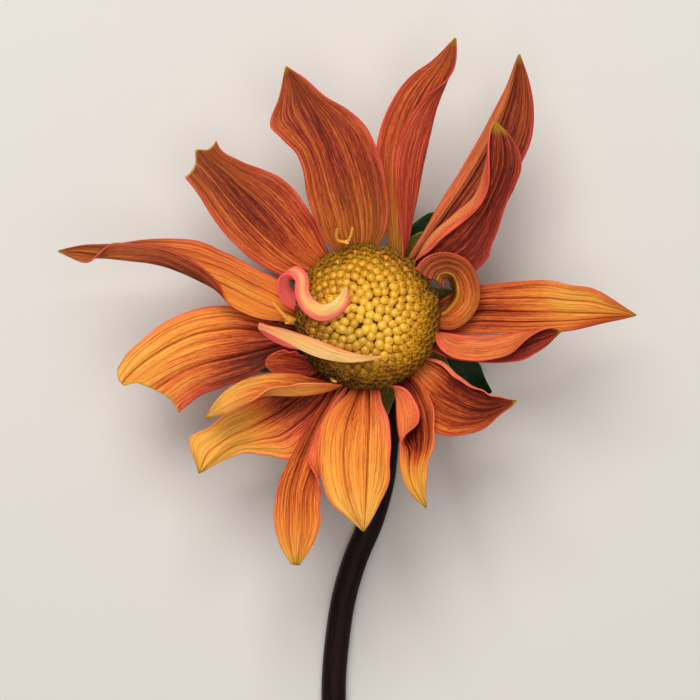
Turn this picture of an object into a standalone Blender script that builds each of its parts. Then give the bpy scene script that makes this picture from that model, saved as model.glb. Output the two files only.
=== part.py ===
"""A cut dahlia lying on its back: a domed disc of florets, long twisted ray petals, bracts and a dark stem.

Run it with: blender --background --python part.py
The design is in millimetres in the head's own frame: x and y across the open face, z out of it, the origin
in the middle of the rim from which the petals grow. The whole flower is then set down on the surface z = 0
with its box centred over the origin.
"""

import math

import bpy
import numpy as np
from mathutils import Vector, geometry

MM = 0.001

# Head
DISC_RADIUS = 13.2
DISC_HEIGHT = 9.6
DISC_RIM_Z = 0.6  # where the dome is widest
DISC_UNDERSIDE_Z = -0.75
DISC_UNDERSIDE_RADIUS = 9.8
DISC_LEAN = (-0.5, -1.4)  # the dome's top stands this far off its middle
FLORETS = 330
BUD_HEIGHT = 0.65
BUD_VALLEY = 0.3
RIM_POINTS = 60
GOLDEN_ANGLE = math.radians(137.508)

# Blades
PETAL_THICKNESS = 0.7
BRACT_THICKNESS = 0.8
PHYLLARY_THICKNESS = 0.6
PETAL_ROWS = 12
PETAL_COLUMNS = 6

# Receptacle, bracts and stem
GAP = 0.3  # between pieces that touch
TABLE_Z = -22.0  # the surface that the flower lies on
RECEPTACLE_SIDES = 24
RECEPTACLE_PROFILE = [  # radius, height
    (9.6, DISC_UNDERSIDE_Z - GAP), (10.2, -1.5), (10.2, -6.8), (9.3, -8.4), (7.0, -9.9), (4.2, -10.9),
               (2.9, -11.4),
]
BRACT_ANGLES = [-33, 50, 136, 198, 256]
BRACT_SPINE = [  # distance out, height
    (9.9, -8.5), (14.4, -9.0), (19.0, -11.8), (23.0, -16.8), (26.2, -21.2), (30.0, -22.4),
]
BRACT_HALF_WIDTHS = [2.4, 4.0, 5.0, 5.0, 4.4, 3.0, 0.3]
PHYLLARY_ANGLES = [-79 + 45 * k for k in range(8)]
PHYLLARY_SPINE = [(10.5, -7.0), (14.0, -7.4), (17.4, -7.0), (20.4, -6.0)]
PHYLLARY_HALF_WIDTHS = [2.2, 3.2, 2.4, 0.3]
STEM_RADIUS = 2.55
STEM_SIDES = 14
STEM_ROWS = 44
STEM_LINE_Z = TABLE_Z + STEM_RADIUS
STEM_SPINE = [(0.0, 0.0, -11.75), (0.0, -0.1, -14.6), (1.0, -3.2, -18.2)] + [
    (x, y, STEM_LINE_Z) for x, y in (
        (3.4, -9.4), (5.4, -17.0), (4.2, -25.2), (3.3, -33.4), (1.1, -41.6), (-2.3, -49.8), (-4.7, -58.0),
        (-6.0, -66.4), (-6.7, -74.8), (-6.6, -83.0), (-5.9, -91.2), (-4.8, -99.4), (-3.4, -107.4),
        (-1.8, -115.2),
    )
]

# Florets that have opened at the disc's edge: a tube, and the yellow arms of its style
OPEN_FLORETS = {
    "open_floret_01_top": [
        ([(-4.1, 13.9, 1.9), (-4.1, 14.5, 3.4), (-4.0, 14.7, 4.8)], [0.5, 0.5, 0.45]),
        ([(-5.9, 17.2, 6.2), (-6.1, 15.8, 5.4), (-5.6, 14.9, 4.8), (-4.0, 14.7, 4.6), (-3.3, 15.8, 5.2),
          (-2.9, 17.4, 6.0)], [0.3, 0.4, 0.4, 0.45, 0.4, 0.3]),
    ],
    "open_floret_02_left": [
        ([(-14.2, -1.1, 1.2), (-15.0, -1.0, 2.1), (-15.9, -0.8, 2.8)], [0.7, 1.15, 0.6]),
        ([(-15.5, -1.0, 2.9), (-16.6, 0.2, 3.2), (-17.8, 1.5, 3.6),
               (-18.8, 2.7, 4.0)], [0.5, 0.5, 0.42, 0.3]),
    ],
    "open_floret_03_low": [
        ([(-6.8, -12.4, 2.0), (-6.9, -12.6, 3.2)], [0.48, 0.48]),
        ([(-6.9, -12.4, 3.0), (-6.8, -12.9, 3.9), (-6.1, -13.1, 4.4)], [0.4, 0.35, 0.3]),
    ],
}
TUBE_SIDES = 8

MATERIALS = {
    "petal_russet": ((0.62, 0.15, 0.05, 1.0), 0.55),
    "petal_amber": ((0.82, 0.36, 0.09, 1.0), 0.55),
    "petal_blush": ((0.90, 0.50, 0.26, 1.0), 0.5),
    "disc_gold": ((0.55, 0.38, 0.04, 1.0), 0.5),
    "floret_yellow": ((0.85, 0.55, 0.08, 1.0), 0.5),
    "bract_green": ((0.06, 0.16, 0.03, 1.0), 0.5),
    "phyllary_olive": ((0.30, 0.30, 0.10, 1.0), 0.5),
    "receptacle_green": ((0.16, 0.22, 0.06, 1.0), 0.6),
    "stem_maroon": ((0.10, 0.035, 0.03, 1.0), 0.45),
}
RUSSET = ("01", "02", "03", "04", "05", "17")
BLUSH = ("18", "19")

# Each ray petal: its midrib's points from root to tip, and then, at even stations along it, the half-width
# on its left and right (seen from the front, tip up). A half turns by "turn" degrees towards the front,
# around the share "at" of its width and over the share "soft" of it, and "lift" tilts it from the midrib on.
# "reach" is how far the tip runs, as shares of the midrib, across the blade from its left margin to its
# right one, which makes teeth, notches and lobes.
PETALS = {
    "petal_01_top_broad": dict(
        spine=[(-2.4, 10.9, -1.4), (-3.0, 15.5, 0.0), (-4.4, 22.5, 2.2), (-7.2, 31.5, 4.6),
               (-11.2, 41.0, 6.6), (-16.0, 49.2, 8.5)],
        left=[1.3, 4.9, 6.5, 7.0, 6.9, 6.3, 6.2, 7.9, 8.6, 4.3, 0.2],
        right=[1.3, 6.2, 8.1, 9.0, 9.6, 9.5, 9.1, 6.8, 3.8, 2.1, 0.2],
        left_turn=20, right_turn=24,
    ),
    "petal_02_top_folded": dict(
        spine=[(6.2, 9.2, -3.4), (7.8, 14.5, -2.8), (9.2, 23.0, -1.0), (10.4, 31.0, 1.2),
               (12.8, 40.5, 3.6), (16.0, 48.4, 6.4), (17.4, 54.8, 8.6)],
        left=[1.3, 3.5, 5.5, 7.0, 8.2, 9.0, 8.8, 7.8, 6.0, 3.2, 0.2],
        right=[1.3, 1.8, 3.0, 4.8, 6.6, 7.4, 6.8, 4.6, 2.8, 1.8, 0.2],
        right_turn=[40, 120, 165, 165, 165, 165, 165, 160, 120, 60, 20],
        right_at=0.15, right_soft=0.3, left_lift=-4,
    ),
    "petal_03_back_spear": dict(
        spine=[(7.0, 7.9, -5.2), (10.0, 12.6, -4.8), (15.4, 20.2, -3.2), (20.5, 27.6, -1.2),
               (24.9, 35.3, 0.8), (28.1, 42.8, 3.0), (30.2, 51.8, 6.0)],
        left=[1.3, 1.1, 1.5, 2.0, 2.4, 2.5, 2.5, 2.3, 1.8, 1.0, 0.2],
        right=[1.3, 2.8, 4.6, 5.9, 6.9, 7.3, 7.5, 7.3, 5.7, 3.3, 0.2],
        left_lift=-14, right_lift=4,
    ),
    "petal_04_hooded": dict(
        spine=[(8.4, 7.2, -1.4), (12.6, 14.4, 1.0), (17.6, 19.0, 3.0), (22.2, 23.2, 5.0),
               (24.3, 29.0, 7.2), (25.1, 34.5, 8.8), (25.4, 38.2, 8.8)],
        left=[1.2, 1.5, 2.8, 3.8, 4.0, 4.0, 3.9, 3.6, 3.0, 2.2, 0.3],
        right=[1.2, 5.6, 8.4, 10.2, 10.0, 7.9, 5.4, 5.7, 6.0, 4.4, 0.3],
        left_turn=[0, 80, 150, 150, 150, 150, 150, 140, 120, 80, 30],
        left_at=0.3, left_soft=0.6,
    ),
    "petal_05_ram_horn": dict(
        spine=[(10.8, -1.4, -1.5), (13.2, -1.0, -0.7), (16.6, -1.0, 1.2), (19.4, 1.0, 2.6),
               (20.6, 3.8, 3.8), (20.2, 6.8, 4.8), (18.4, 9.2, 5.6), (15.6, 10.0, 6.4),
               (13.2, 9.2, 7.0), (12.0, 7.4, 7.4)],
        left=[1.2, 2.0, 3.6, 4.6, 4.9, 4.9, 4.6, 3.8, 2.9, 3.0, 3.6],
        right=[1.1, 1.3, 1.6, 1.9, 1.9, 1.9, 2.0, 2.3, 2.6, 2.8, 3.1],
        left_turn=[0, -10, -40, -60, -65, -65, -62, -50, -25, -8, 0], left_at=0.5, left_soft=0.35,
        left_lift=[0, 0, 5, 12, 22, 31, 38, 45, 53, 60, 64],
        right_lift=[0, 0, -12, -22, -32, -40, -48, -55, -62, -68, -70],
        reach=[1.0, 0.985, 1.0, 0.995, 0.98],
        rows=22, columns=8,
    ),
    "petal_06_right_long": dict(
        spine=[(10.8, -0.8, -3.4), (15.6, -0.4, -2.8), (22.6, 1.0, -0.8), (30.6, 0.8, 2.0),
               (38.6, 0.6, 4.5), (46.6, 0.4, 7.0), (53.0, 0.1, 9.5)],
        left=[1.3, 3.6, 5.0, 5.4, 5.9, 6.5, 6.6, 5.8, 5.2, 2.9, 0.2],
        right=[1.3, 3.0, 4.4, 4.8, 4.8, 4.6, 4.2, 3.6, 2.6, 1.4, 0.2],
        left_lift=14, right_lift=14,
    ),
    "petal_07_right_folded": dict(
        spine=[(10.3, -4.4, -1.4), (14.6, -4.0, -0.8), (19.2, -4.7, 2.4), (23.6, -5.0, 4.4),
               (28.0, -4.6, 6.4), (32.4, -3.6, 8.4), (35.8, -3.2, 10.0), (38.2, -3.1, 11.0)],
        left=[1.2, 1.8, 4.2, 5.6, 5.9, 5.9, 5.6, 4.4, 3.0, 1.6, 0.2],
        right=[1.3, 3.2, 4.2, 4.3, 4.3, 4.4, 4.6, 4.7, 4.0, 2.6, 0.2],
        left_turn=[0, 30, 140, 168, 168, 165, 160, 150, 125, 70, 20],
        left_at=0.15, left_soft=0.3, right_lift=-6,
    ),
    "petal_08_lower_right": dict(
        spine=[(7.2, -7.9, -3.4), (11.8, -13.0, -1.0), (16.6, -16.8, 3.5), (21.8, -18.8, 8.5),
               (26.0, -18.2, 12.5), (29.0, -16.8, 15.5)],
        left=[1.3, 4.0, 6.0, 6.6, 6.2, 5.8, 5.4, 4.6, 3.4, 1.8, 0.2],
        right=[1.3, 2.5, 4.6, 6.4, 7.2, 7.2, 6.6, 5.2, 3.4, 1.6, 0.2],
        left_turn=[20, 120, 150, 150, 150, 140, 120, 100, 80, 40, 10],
        left_at=0.8, left_soft=0.35,
    ),
    "petal_09_right_scoop": dict(
        spine=[(4.2, -10.3, -1.4), (6.4, -12.8, -0.6), (8.8, -16.4, 1.6), (10.2, -21.2, 5.0),
               (10.4, -26.0, 8.5), (9.6, -30.2, 11.8), (10.0, -34.0, 14.8), (11.4, -37.4, 17.6)],
        left=[1.3, 2.6, 3.4, 3.9, 4.2, 4.0, 3.5, 3.0, 2.3, 1.3, 0.2],
        right=[1.2, 3.0, 6.0, 8.4, 9.6, 8.8, 4.9, 3.5, 2.7, 1.5, 0.2],
        right_turn=[0, 60, 150, 168, 170, 150, 70, 40, 30, 15, 0],
        right_at=0.44, right_soft=0.25,
        left_turn=[0, 0, 10, 25, 40, 40, 35, 30, 20, 10, 0], left_soft=0.4,
    ),
    "petal_10_bottom_broad": dict(
        spine=[(-0.2, -11.2, -1.4), (-1.0, -17.0, 1.5), (-2.0, -25.0, 7.0), (-2.2, -33.0, 13.0),
               (-0.8, -42.0, 19.6)],
        left=[1.3, 3.2, 4.7, 6.0, 6.7, 7.0, 7.0, 6.5, 4.9, 2.8, 0.2],
        right=[1.3, 2.4, 4.8, 7.0, 7.7, 7.7, 7.2, 6.5, 5.4, 2.8, 0.2],
        left_turn=[0, 30, 50, 20, -10, -20, -20, -10, 0, 0, 0], right_turn=-14,
    ),
    "petal_11_left_scoop": dict(
        spine=[(-3.2, -10.4, -3.4), (-7.2, -17.4, -1.4), (-10.0, -22.6, 1.6), (-12.4, -28.4, 5.0),
               (-13.8, -34.2, 8.6), (-14.0, -39.8, 12.0), (-14.0, -44.6, 14.8), (-14.0, -48.6, 17.2)],
        left=[1.3, 2.5, 4.0, 6.0, 7.8, 8.2, 6.0, 4.8, 4.9, 3.4, 0.9],
        right=[1.3, 1.4, 1.5, 1.9, 2.2, 2.8, 3.7, 4.3, 4.5, 3.5, 0.9],
        left_turn=[0, 100, 165, 165, 165, 160, 90, 30, 20, 0, 0],
        left_at=0.5, left_soft=0.25,
    ),
    "petal_12_lower_left": dict(
        spine=[(-5.8, -9.0, -5.2), (-10.6, -15.2, -3.8), (-16.4, -19.8, -1.8), (-22.4, -23.2, 0.8),
               (-28.4, -26.0, 4.0), (-33.3, -31.1, 7.0)],
        left=[1.3, 4.0, 6.2, 7.6, 8.2, 8.4, 5.4, 3.2, 2.6, 1.5, 0.2],
        right=[1.3, 3.5, 5.0, 5.6, 5.8, 5.8, 5.8, 5.8, 4.9, 5.8, 0.2],
    ),
    "petal_13_boat": dict(
        spine=[(-4.5, -10.2, -1.4), (-6.2, -13.6, -0.4), (-11.0, -15.0, 2.6), (-15.6, -15.3, 4.4),
               (-20.0, -15.2, 6.2), (-24.4, -16.2, 8.0), (-28.2, -18.2, 9.5), (-31.8, -20.2, 11.0)],
        left=[1.2, 2.6, 3.8, 3.8, 3.2, 2.0, 1.4, 0.2],
        right=[1.2, 1.2, 2.8, 4.0, 3.8, 3.4, 2.6, 0.2],
        left_turn=[0, 80, 115, 115, 100, 50, 10, 0], left_at=0.2, left_soft=0.4,
        right_turn=[0, 0, 50, 50, 30, 0, 0, 0],
    ),
    "petal_14_small_cup": dict(
        spine=[(-8.0, -7.6, -1.4), (-12.0, -10.2, 0.4), (-16.2, -10.2, 2.4), (-20.2, -9.6, 4.2)],
        left=[1.2, 1.8, 2.1, 1.8], right=[1.2, 2.2, 4.2, 2.8],
        right_turn=[0, 60, 90, 50], reach=[0.84, 0.95, 1.0, 0.97, 0.84],
    ),
    "petal_15_left_broad": dict(
        spine=[(-10.1, -3.8, -5.2), (-17.4, -4.8, -4.2), (-25.4, -5.8, -2.4), (-33.4, -7.2, -0.4),
               (-40.4, -10.2, 2.0), (-45.6, -13.4, 3.8), (-47.6, -15.0, 4.4)],
        left=[1.3, 2.5, 4.0, 5.8, 7.2, 8.0, 8.3, 8.6, 9.5, 9.9, 9.9],
        right=[1.3, 2.2, 3.8, 6.2, 8.2, 8.6, 8.5, 8.0, 7.1, 6.1, 4.2],
        left_turn=-14, right_turn=-18, reach=[0.82, 0.83, 0.876, 0.935, 1.0, 1.0, 0.965],
    ),
    "petal_16_left_twisted": dict(
        spine=[(-11.1, -0.8, -3.4), (-16.4, 1.8, -1.0), (-22.2, 4.6, 0.8), (-28.0, 7.6, 2.6),
               (-32.0, 9.0, 3.6), (-37.4, 10.6, 4.8), (-43.4, 12.2, 6.0), (-47.8, 12.8, 6.8),
               (-52.2, 13.2, 7.6), (-56.6, 13.3, 8.3), (-61.0, 12.7, 9.0)],
        left=[1.3, 2.8, 4.4, 4.7, 4.8, 5.2, 4.9, 5.3, 5.1, 3.6, 0.2],
        right=[1.3, 3.6, 4.4, 4.3, 4.6, 5.2, 4.2, 2.6, 1.2, 0.7, 0.2],
        left_turn=[0, 0, 0, 70, 168, 174, 174, 174, 165, 60, 0],
        left_at=[1, 1, 1, 0.97, 0.62, 0.4, 0.3, 0.33, 0.35, 0.38, 0.4], left_soft=0.32, rows=16,
    ),
    "petal_17_upper_left": dict(
        spine=[(-7.2, 8.0, -3.4), (-13.4, 12.0, -1.5), (-18.4, 16.8, 0.5), (-23.8, 22.2, 2.5),
               (-29.0, 27.8, 4.5), (-33.9, 32.8, 6.5)],
        left=[1.3, 3.4, 5.3, 6.6, 7.4, 7.6, 7.4, 7.0, 6.1, 5.7, 5.3],
        right=[1.3, 4.4, 6.3, 7.5, 8.3, 8.8, 8.4, 6.7, 4.9, 3.6, 4.8],
        left_turn=16, right_turn=20, reach=[0.945, 0.94, 0.955, 1.0, 0.965, 0.955, 0.965],
    ),
    "petal_18_inner_hook": dict(
        spine=[(-10.6, 2.9, -1.4), (-14.6, 3.0, 0.5), (-16.7, 5.4, 3.0), (-16.3, 8.2, 5.5),
               (-14.6, 8.9, 7.5), (-13.0, 7.4, 8.6), (-12.8, 4.4, 8.8), (-11.6, 2.0, 9.5),
               (-9.2, 0.6, 10.3), (-6.6, 1.2, 11.2), (-4.8, 3.2, 11.3), (-4.0, 6.0, 11.4)],
        left=[1.2, 1.6, 1.6, 1.6, 1.5, 1.4, 1.4, 1.6, 1.7, 1.7, 1.4, 0.2],
        right=[1.2, 1.6, 1.6, 1.6, 1.5, 1.4, 1.4, 1.6, 1.7, 1.6, 1.2, 0.2],
        left_lift=[0, 0, 0, 0, 0, 25, 40, 60, 72, 78, 75],
        right_lift=[0, 0, 0, 0, 0, -25, -32, -42, -52, -60, -60],
        rows=26, columns=4,
    ),
    "petal_19_inner_strap": dict(
        spine=[(-10.2, -4.6, -1.4), (-13.8, -5.4, 0.2), (-17.6, -4.2, 3.0), (-20.6, -2.5, 5.6),
               (-21.0, -2.2, 7.6), (-16.8, -3.6, 9.0), (-12.6, -5.4, 9.1), (-8.4, -7.0, 9.4),
               (-3.8, -8.2, 10.2), (0.6, -8.4, 10.6), (2.8, -8.1, 10.4)],
        left=[1.2, 1.3, 1.3, 1.1, 0.6, 1.1, 1.5, 1.6, 1.3, 0.7, 0.2],
        right=[1.2, 1.3, 1.3, 1.1, 0.6, 1.1, 1.5, 1.6, 1.3, 0.7, 0.2],
        rows=22, columns=4,
    ),
}
PETAL_DEFAULTS = dict(
    left_lift=0, right_lift=0, left_turn=0, right_turn=0,
    left_at=0.5, right_at=0.5, left_soft=1.0, right_soft=1.0,
    reach=1.0, rows=PETAL_ROWS, columns=PETAL_COLUMNS,
)

SPINE_STEPS = 240
HALF_STEPS = 24


def smooth(values, u):
    """A value or point at u (0 root, 1 tip) of a Catmull-Rom curve through values at even stations."""
    knots = np.atleast_1d(np.asarray(values, float))
    u = np.asarray(u, float)
    if len(knots) == 1:
        return np.full(u.shape, knots[0])
    spans = len(knots) - 1
    knots = np.concatenate([[2 * knots[0] - knots[1]], knots, [2 * knots[-1] - knots[-2]]])
    place = np.clip(u, 0, 1) * spans
    i = np.minimum(place.astype(int), spans - 1)
    t = place - i
    if knots.ndim > 1:
        t = t[..., None]
    a, b, c, d = (knots[i + k] for k in range(4))
    return 0.5 * (2 * b + (c - a) * t + (2 * a - 5 * b + 4 * c - d) * t**2 + (3 * b - a - 3 * c + d) * t**3)


def unit(vectors):
    return vectors / np.linalg.norm(vectors, axis=-1, keepdims=True)


class Spine:
    """A smooth midrib with a direction and a facing that turns as little as it can along it."""

    def __init__(self, points, facing=(0, 0, 1)):
        line = smooth(np.array(points, float), np.linspace(0, 1, SPINE_STEPS))
        run = np.concatenate([[0], np.cumsum(np.linalg.norm(np.diff(line, axis=0), axis=1))])
        self.u = run / run[-1]
        self.line = line
        self.tangent = unit(np.gradient(line, run, axis=0))
        normal = np.array(facing, float)
        normals = []
        for along in self.tangent:
            normal = unit(normal - normal.dot(along) * along)
            normals.append(normal)
        self.normal = np.array(normals)

    def read(self, table, u):
        return np.stack([np.interp(u, self.u, table[:, k]) for k in range(3)], axis=-1)

    def frame(self, u):
        """Point, direction, side and facing at u."""
        tangent = unit(self.read(self.tangent, u))
        normal = self.read(self.normal, u)
        normal = unit(normal - (normal * tangent).sum(-1, keepdims=True) * tangent)
        return self.read(self.line, u), tangent, np.cross(tangent, normal), normal


def blade_points(shape, u, v):
    """Points of a blade's middle surface: u runs from root to tip, v from -1 (left margin) to 1 (right)."""
    u = u * smooth(shape["reach"], (v + 1) / 2)
    centre, _, side, normal = Spine(shape["spine"]).frame(u)
    across = np.zeros(u.shape)
    height = np.zeros(u.shape)
    share = (np.arange(HALF_STEPS) + 0.5) / HALF_STEPS
    for name, sign in (("left", -1), ("right", 1)):
        here = v * sign > 0
        uu = u[here]
        reach = np.abs(v[here])
        width = np.maximum(smooth(shape[name], uu), 0.15)
        steps = reach[:, None] * share
        at = smooth(shape[name + "_at"], uu)[:, None]
        bend = np.clip((steps - at) / shape[name + "_soft"] + 0.5, 0, 1)
        bend = bend * bend * (3 - 2 * bend)
        lift = smooth(shape[name + "_lift"], uu)[:, None]
        turn = smooth(shape[name + "_turn"], uu)[:, None]
        angle = np.radians(lift + turn * bend)
        step = (width * reach / HALF_STEPS)[:, None]
        across[here] = sign * (np.cos(angle) * step).sum(1)
        height[here] = (np.sin(angle) * step).sum(1)
    return centre + across[..., None] * side + height[..., None] * normal


def blade_grid(shape):
    """Middle surface points on the blade's own grid of rows and columns."""
    along = np.linspace(0, 1, shape["rows"] + 1)
    across = np.linspace(-1, 1, shape["columns"] + 1)
    return blade_points(shape, *np.meshgrid(along, across, indexing="ij"))


def solid_blade(middle, thickness):
    """Vertices and triangles of a blade of even thickness about its middle surface."""
    rows, columns = middle.shape[:2]
    along = np.gradient(middle, axis=0)
    across = np.gradient(middle, axis=1)
    half = unit(np.cross(across, along)) * (thickness / 2)
    front = middle + half
    back = middle - half
    points = np.concatenate([front.reshape(-1, 3), back.reshape(-1, 3)])
    behind = rows * columns
    faces = []
    for i in range(rows - 1):
        for j in range(columns - 1):
            a, b = i * columns + j, i * columns + j + 1
            c, d = b + columns, a + columns
            for p, q, r in ((a, b, c), (a, c, d)):
                faces.append((p, q, r))
                faces.append((p + behind, r + behind, q + behind))
    rim = [j for j in range(columns)]
    rim += [i * columns + columns - 1 for i in range(1, rows)]
    rim += [(rows - 1) * columns + j for j in range(columns - 2, -1, -1)]
    rim += [i * columns for i in range(rows - 2, 0, -1)]
    for p, q in zip(rim, rim[1:] + rim[:1]):
        faces.append((q, p, p + behind))
        faces.append((q, p + behind, q + behind))
    return points, faces


def add_object(name, points, faces, material, head):
    """A mesh object hung on the head, its origin at its first point; points are in millimetres."""
    origin = Vector(points[0])
    mesh = bpy.data.meshes.new(name)
    corners = [tuple(int(i) for i in face) for face in faces]
    mesh.from_pydata([(Vector(p) - origin) * MM for p in points], [], corners)
    mesh.validate()
    mesh.shade_smooth()
    mesh.materials.append(bpy.data.materials[material])
    obj = bpy.data.objects.new(name, mesh)
    bpy.context.scene.collection.objects.link(obj)
    obj.parent = head
    obj.location = origin * MM
    return obj


def turned_solid(profile, sides):
    """Vertices and faces of a profile of (radius, height), from top to bottom, turned about z."""
    points = []
    for radius, z in profile:
        for k in range(sides):
            a = 2 * math.pi * k / sides
            points.append((radius * math.cos(a), radius * math.sin(a), z))
    faces = [tuple(range(sides))]
    for i in range(len(profile) - 1):
        for k in range(sides):
            a, b = i * sides + k, i * sides + (k + 1) % sides
            faces.append((a, a + sides, b + sides, b))
    last = (len(profile) - 1) * sides
    faces.append(tuple(last + k for k in reversed(range(sides))))
    return points, faces


def tube(spine, radii, rows, sides, lowest=None):
    """Vertices and faces of a round tube with flat ends along a smooth line that stays above lowest."""
    line = Spine(spine, facing=(0.3, 0.2, 0.9))
    u = np.linspace(0, 1, rows)
    centre, _, side, normal = line.frame(u)
    if lowest is not None:
        centre[:, 2] = np.maximum(centre[:, 2], lowest)
    radius = smooth(radii, u)
    points = []
    for i in range(rows):
        for k in range(sides):
            a = 2 * math.pi * k / sides
            points.append(centre[i] + radius[i] * (math.cos(a) * side[i] + math.sin(a) * normal[i]))
    faces = [tuple(range(sides))]
    for i in range(rows - 1):
        for k in range(sides):
            a, b = i * sides + k, i * sides + (k + 1) % sides
            faces.append((a, a + sides, b + sides, b))
    faces.append(tuple((rows - 1) * sides + k for k in reversed(range(sides))))
    return points, faces


def dome_point(angle, azimuth, out=0.0):
    """A point of the dome at an angle from its top, raised off it by out."""
    out_share = math.sin(angle)
    flat = np.array([out_share * math.cos(azimuth), out_share * math.sin(azimuth), math.cos(angle)])
    size = np.array([DISC_RADIUS, DISC_RADIUS, DISC_HEIGHT])
    point = flat * size + unit(flat / size) * out
    share = point[2] / DISC_HEIGHT
    return point + np.array([DISC_LEAN[0] * share, DISC_LEAN[1] * share, DISC_RIM_Z])


def floret_places():
    """Each floret's angle from the dome's top and its azimuth: a golden-angle lattice."""
    for i in range(FLORETS):
        share = ((i + 0.5) / FLORETS) ** 1.08
        yield math.acos(1 - 0.97 * share), i * GOLDEN_ANGLE


def dome_mesh():
    """Vertices and triangles of the dome: a peak at each floret and a valley between every three."""
    places = list(floret_places())
    places += [(math.pi / 2, 2 * math.pi * k / RIM_POINTS) for k in range(RIM_POINTS)]
    flat = [Vector((angle * math.cos(azimuth), angle * math.sin(azimuth))) for angle, azimuth in places]
    triangles = geometry.delaunay_2d_cdt(flat, [], [], 0, 1e-9)[2]
    points = [dome_point(a, z, BUD_HEIGHT if i < FLORETS else 0.0) for i, (a, z) in enumerate(places)]

    def add(members, depth):
        middle = sum((flat[m] for m in members), Vector((0, 0))) / len(members)
        if all(m >= FLORETS for m in members):
            points.append((points[members[0]] + points[members[1]]) / 2)
        else:
            points.append(dome_point(middle.length, math.atan2(middle.y, middle.x), -depth))
        return len(points) - 1

    saddles = {}
    faces = []
    for corners in triangles:
        corners = list(corners)
        valley = add(corners, BUD_VALLEY)
        for a, b in zip(corners, corners[1:] + corners[:1]):
            key = (min(a, b), max(a, b))
            if key not in saddles:
                saddles[key] = add(key, BUD_VALLEY / 2)
            faces.append((a, saddles[key], valley))
            faces.append((saddles[key], b, valley))
    rim = []
    for k in range(RIM_POINTS):
        a, b = FLORETS + k, FLORETS + (k + 1) % RIM_POINTS
        rim += [a, saddles[(min(a, b), max(a, b))]]
    return points, faces, rim


def build_disc(head):
    points, faces, rim = dome_mesh()
    base = len(points)
    for i in rim:
        direction = unit(points[i][:2])
        points.append(np.array([*(direction * DISC_UNDERSIDE_RADIUS), DISC_UNDERSIDE_Z]))
    points.append(np.array([0.0, 0.0, DISC_UNDERSIDE_Z]))
    centre = len(points) - 1
    for k in range(len(rim)):
        a, b = rim[k], rim[(k + 1) % len(rim)]
        c, d = base + (k + 1) % len(rim), base + k
        faces += [(b, a, d), (b, d, c), (d, centre, c)]
    add_object("disc_of_florets", points, faces, "disc_gold", head)


def around(profile, angle, side=0.0):
    """Points of a (distance out, height) profile at an angle about the head's axis, bowed sideways."""
    c = math.cos(math.radians(angle))
    s = math.sin(math.radians(angle))
    bow = [side * (i / (len(profile) - 1)) ** 2 for i in range(len(profile))]
    return [(r * c - b * s, r * s + b * c, z) for (r, z), b in zip(profile, bow)]


def build_bracts(head):
    """The five leafy outer bracts, bent back until their tips lie flat on the surface, and the inner eight."""
    for n, angle in enumerate(BRACT_ANGLES):
        shape = {**PETAL_DEFAULTS, "spine": around(BRACT_SPINE, angle, side=(-1) ** n * 1.0),
                 "left": BRACT_HALF_WIDTHS, "right": BRACT_HALF_WIDTHS, "left_lift": 8, "right_lift": 8}
        points, faces = solid_blade(blade_grid(shape), BRACT_THICKNESS)
        half = len(points) // 2
        points[:half, 2] = np.maximum(points[:half, 2], TABLE_Z + BRACT_THICKNESS)
        points[half:, 2] = np.maximum(points[half:, 2], TABLE_Z)
        add_object("outer_bract_%02d" % (n + 1), points, faces, "bract_green", head)
    for n, angle in enumerate(PHYLLARY_ANGLES):
        shape = {**PETAL_DEFAULTS, "spine": around(PHYLLARY_SPINE, angle), "left": PHYLLARY_HALF_WIDTHS,
                 "right": PHYLLARY_HALF_WIDTHS, "left_lift": 14, "right_lift": 14,
                 "rows": 6, "columns": 4}
        points, faces = solid_blade(blade_grid(shape), PHYLLARY_THICKNESS)
        add_object("inner_bract_%02d" % (n + 1), points, faces, "phyllary_olive", head)


def join_all(target, others):
    """Fuse the other objects into the target with Blender's exact Boolean."""
    tools = bpy.data.collections.new("fused")
    for obj in others:
        tools.objects.link(obj)
    fuse = target.modifiers.new("fuse", "BOOLEAN")
    fuse.operation = "UNION"
    fuse.operand_type = "COLLECTION"
    fuse.collection = tools
    fuse.solver = "EXACT"
    bpy.context.view_layer.update()
    depsgraph = bpy.context.evaluated_depsgraph_get()
    mesh = bpy.data.meshes.new_from_object(target.evaluated_get(depsgraph))
    target.modifiers.clear()
    target.data = mesh
    for obj in others:
        bpy.data.objects.remove(obj)
    bpy.data.collections.remove(tools)


def build_open_florets(head):
    for name, tubes in OPEN_FLORETS.items():
        made = []
        for k, (line, radii) in enumerate(tubes):
            points, faces = tube(line, radii, 3 * len(line), TUBE_SIDES)
            own = name if k == 0 else name + "_arm"
            made.append(add_object(own, points, faces, "floret_yellow", head))
        join_all(made[0], made[1:])


def make_materials():
    for name, (colour, roughness) in MATERIALS.items():
        material = bpy.data.materials.new(name)
        material.use_nodes = True
        shader = material.node_tree.nodes["Principled BSDF"]
        shader.inputs["Base Color"].default_value = colour
        shader.inputs["Roughness"].default_value = roughness
        shader.inputs["Metallic"].default_value = 0.0


def petal_material(name):
    number = name.split("_")[1]
    if number in RUSSET:
        return "petal_russet"
    return "petal_blush" if number in BLUSH else "petal_amber"


def build_petals(head):
    for name, spec in PETALS.items():
        shape = {**PETAL_DEFAULTS, **spec}
        points, faces = solid_blade(blade_grid(shape), PETAL_THICKNESS)
        add_object(name, points, faces, petal_material(name), head)


def set_down(head):
    """Move the head so that the whole flower's box is centred over the origin and stands on z = 0."""
    bpy.context.view_layer.update()
    corners = [obj.matrix_world @ v.co for obj in head.children for v in obj.data.vertices]
    low = [min(c[k] for c in corners) for k in range(3)]
    high = [max(c[k] for c in corners) for k in range(3)]
    head.location = (-(low[0] + high[0]) / 2, -(low[1] + high[1]) / 2, -low[2])


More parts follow.
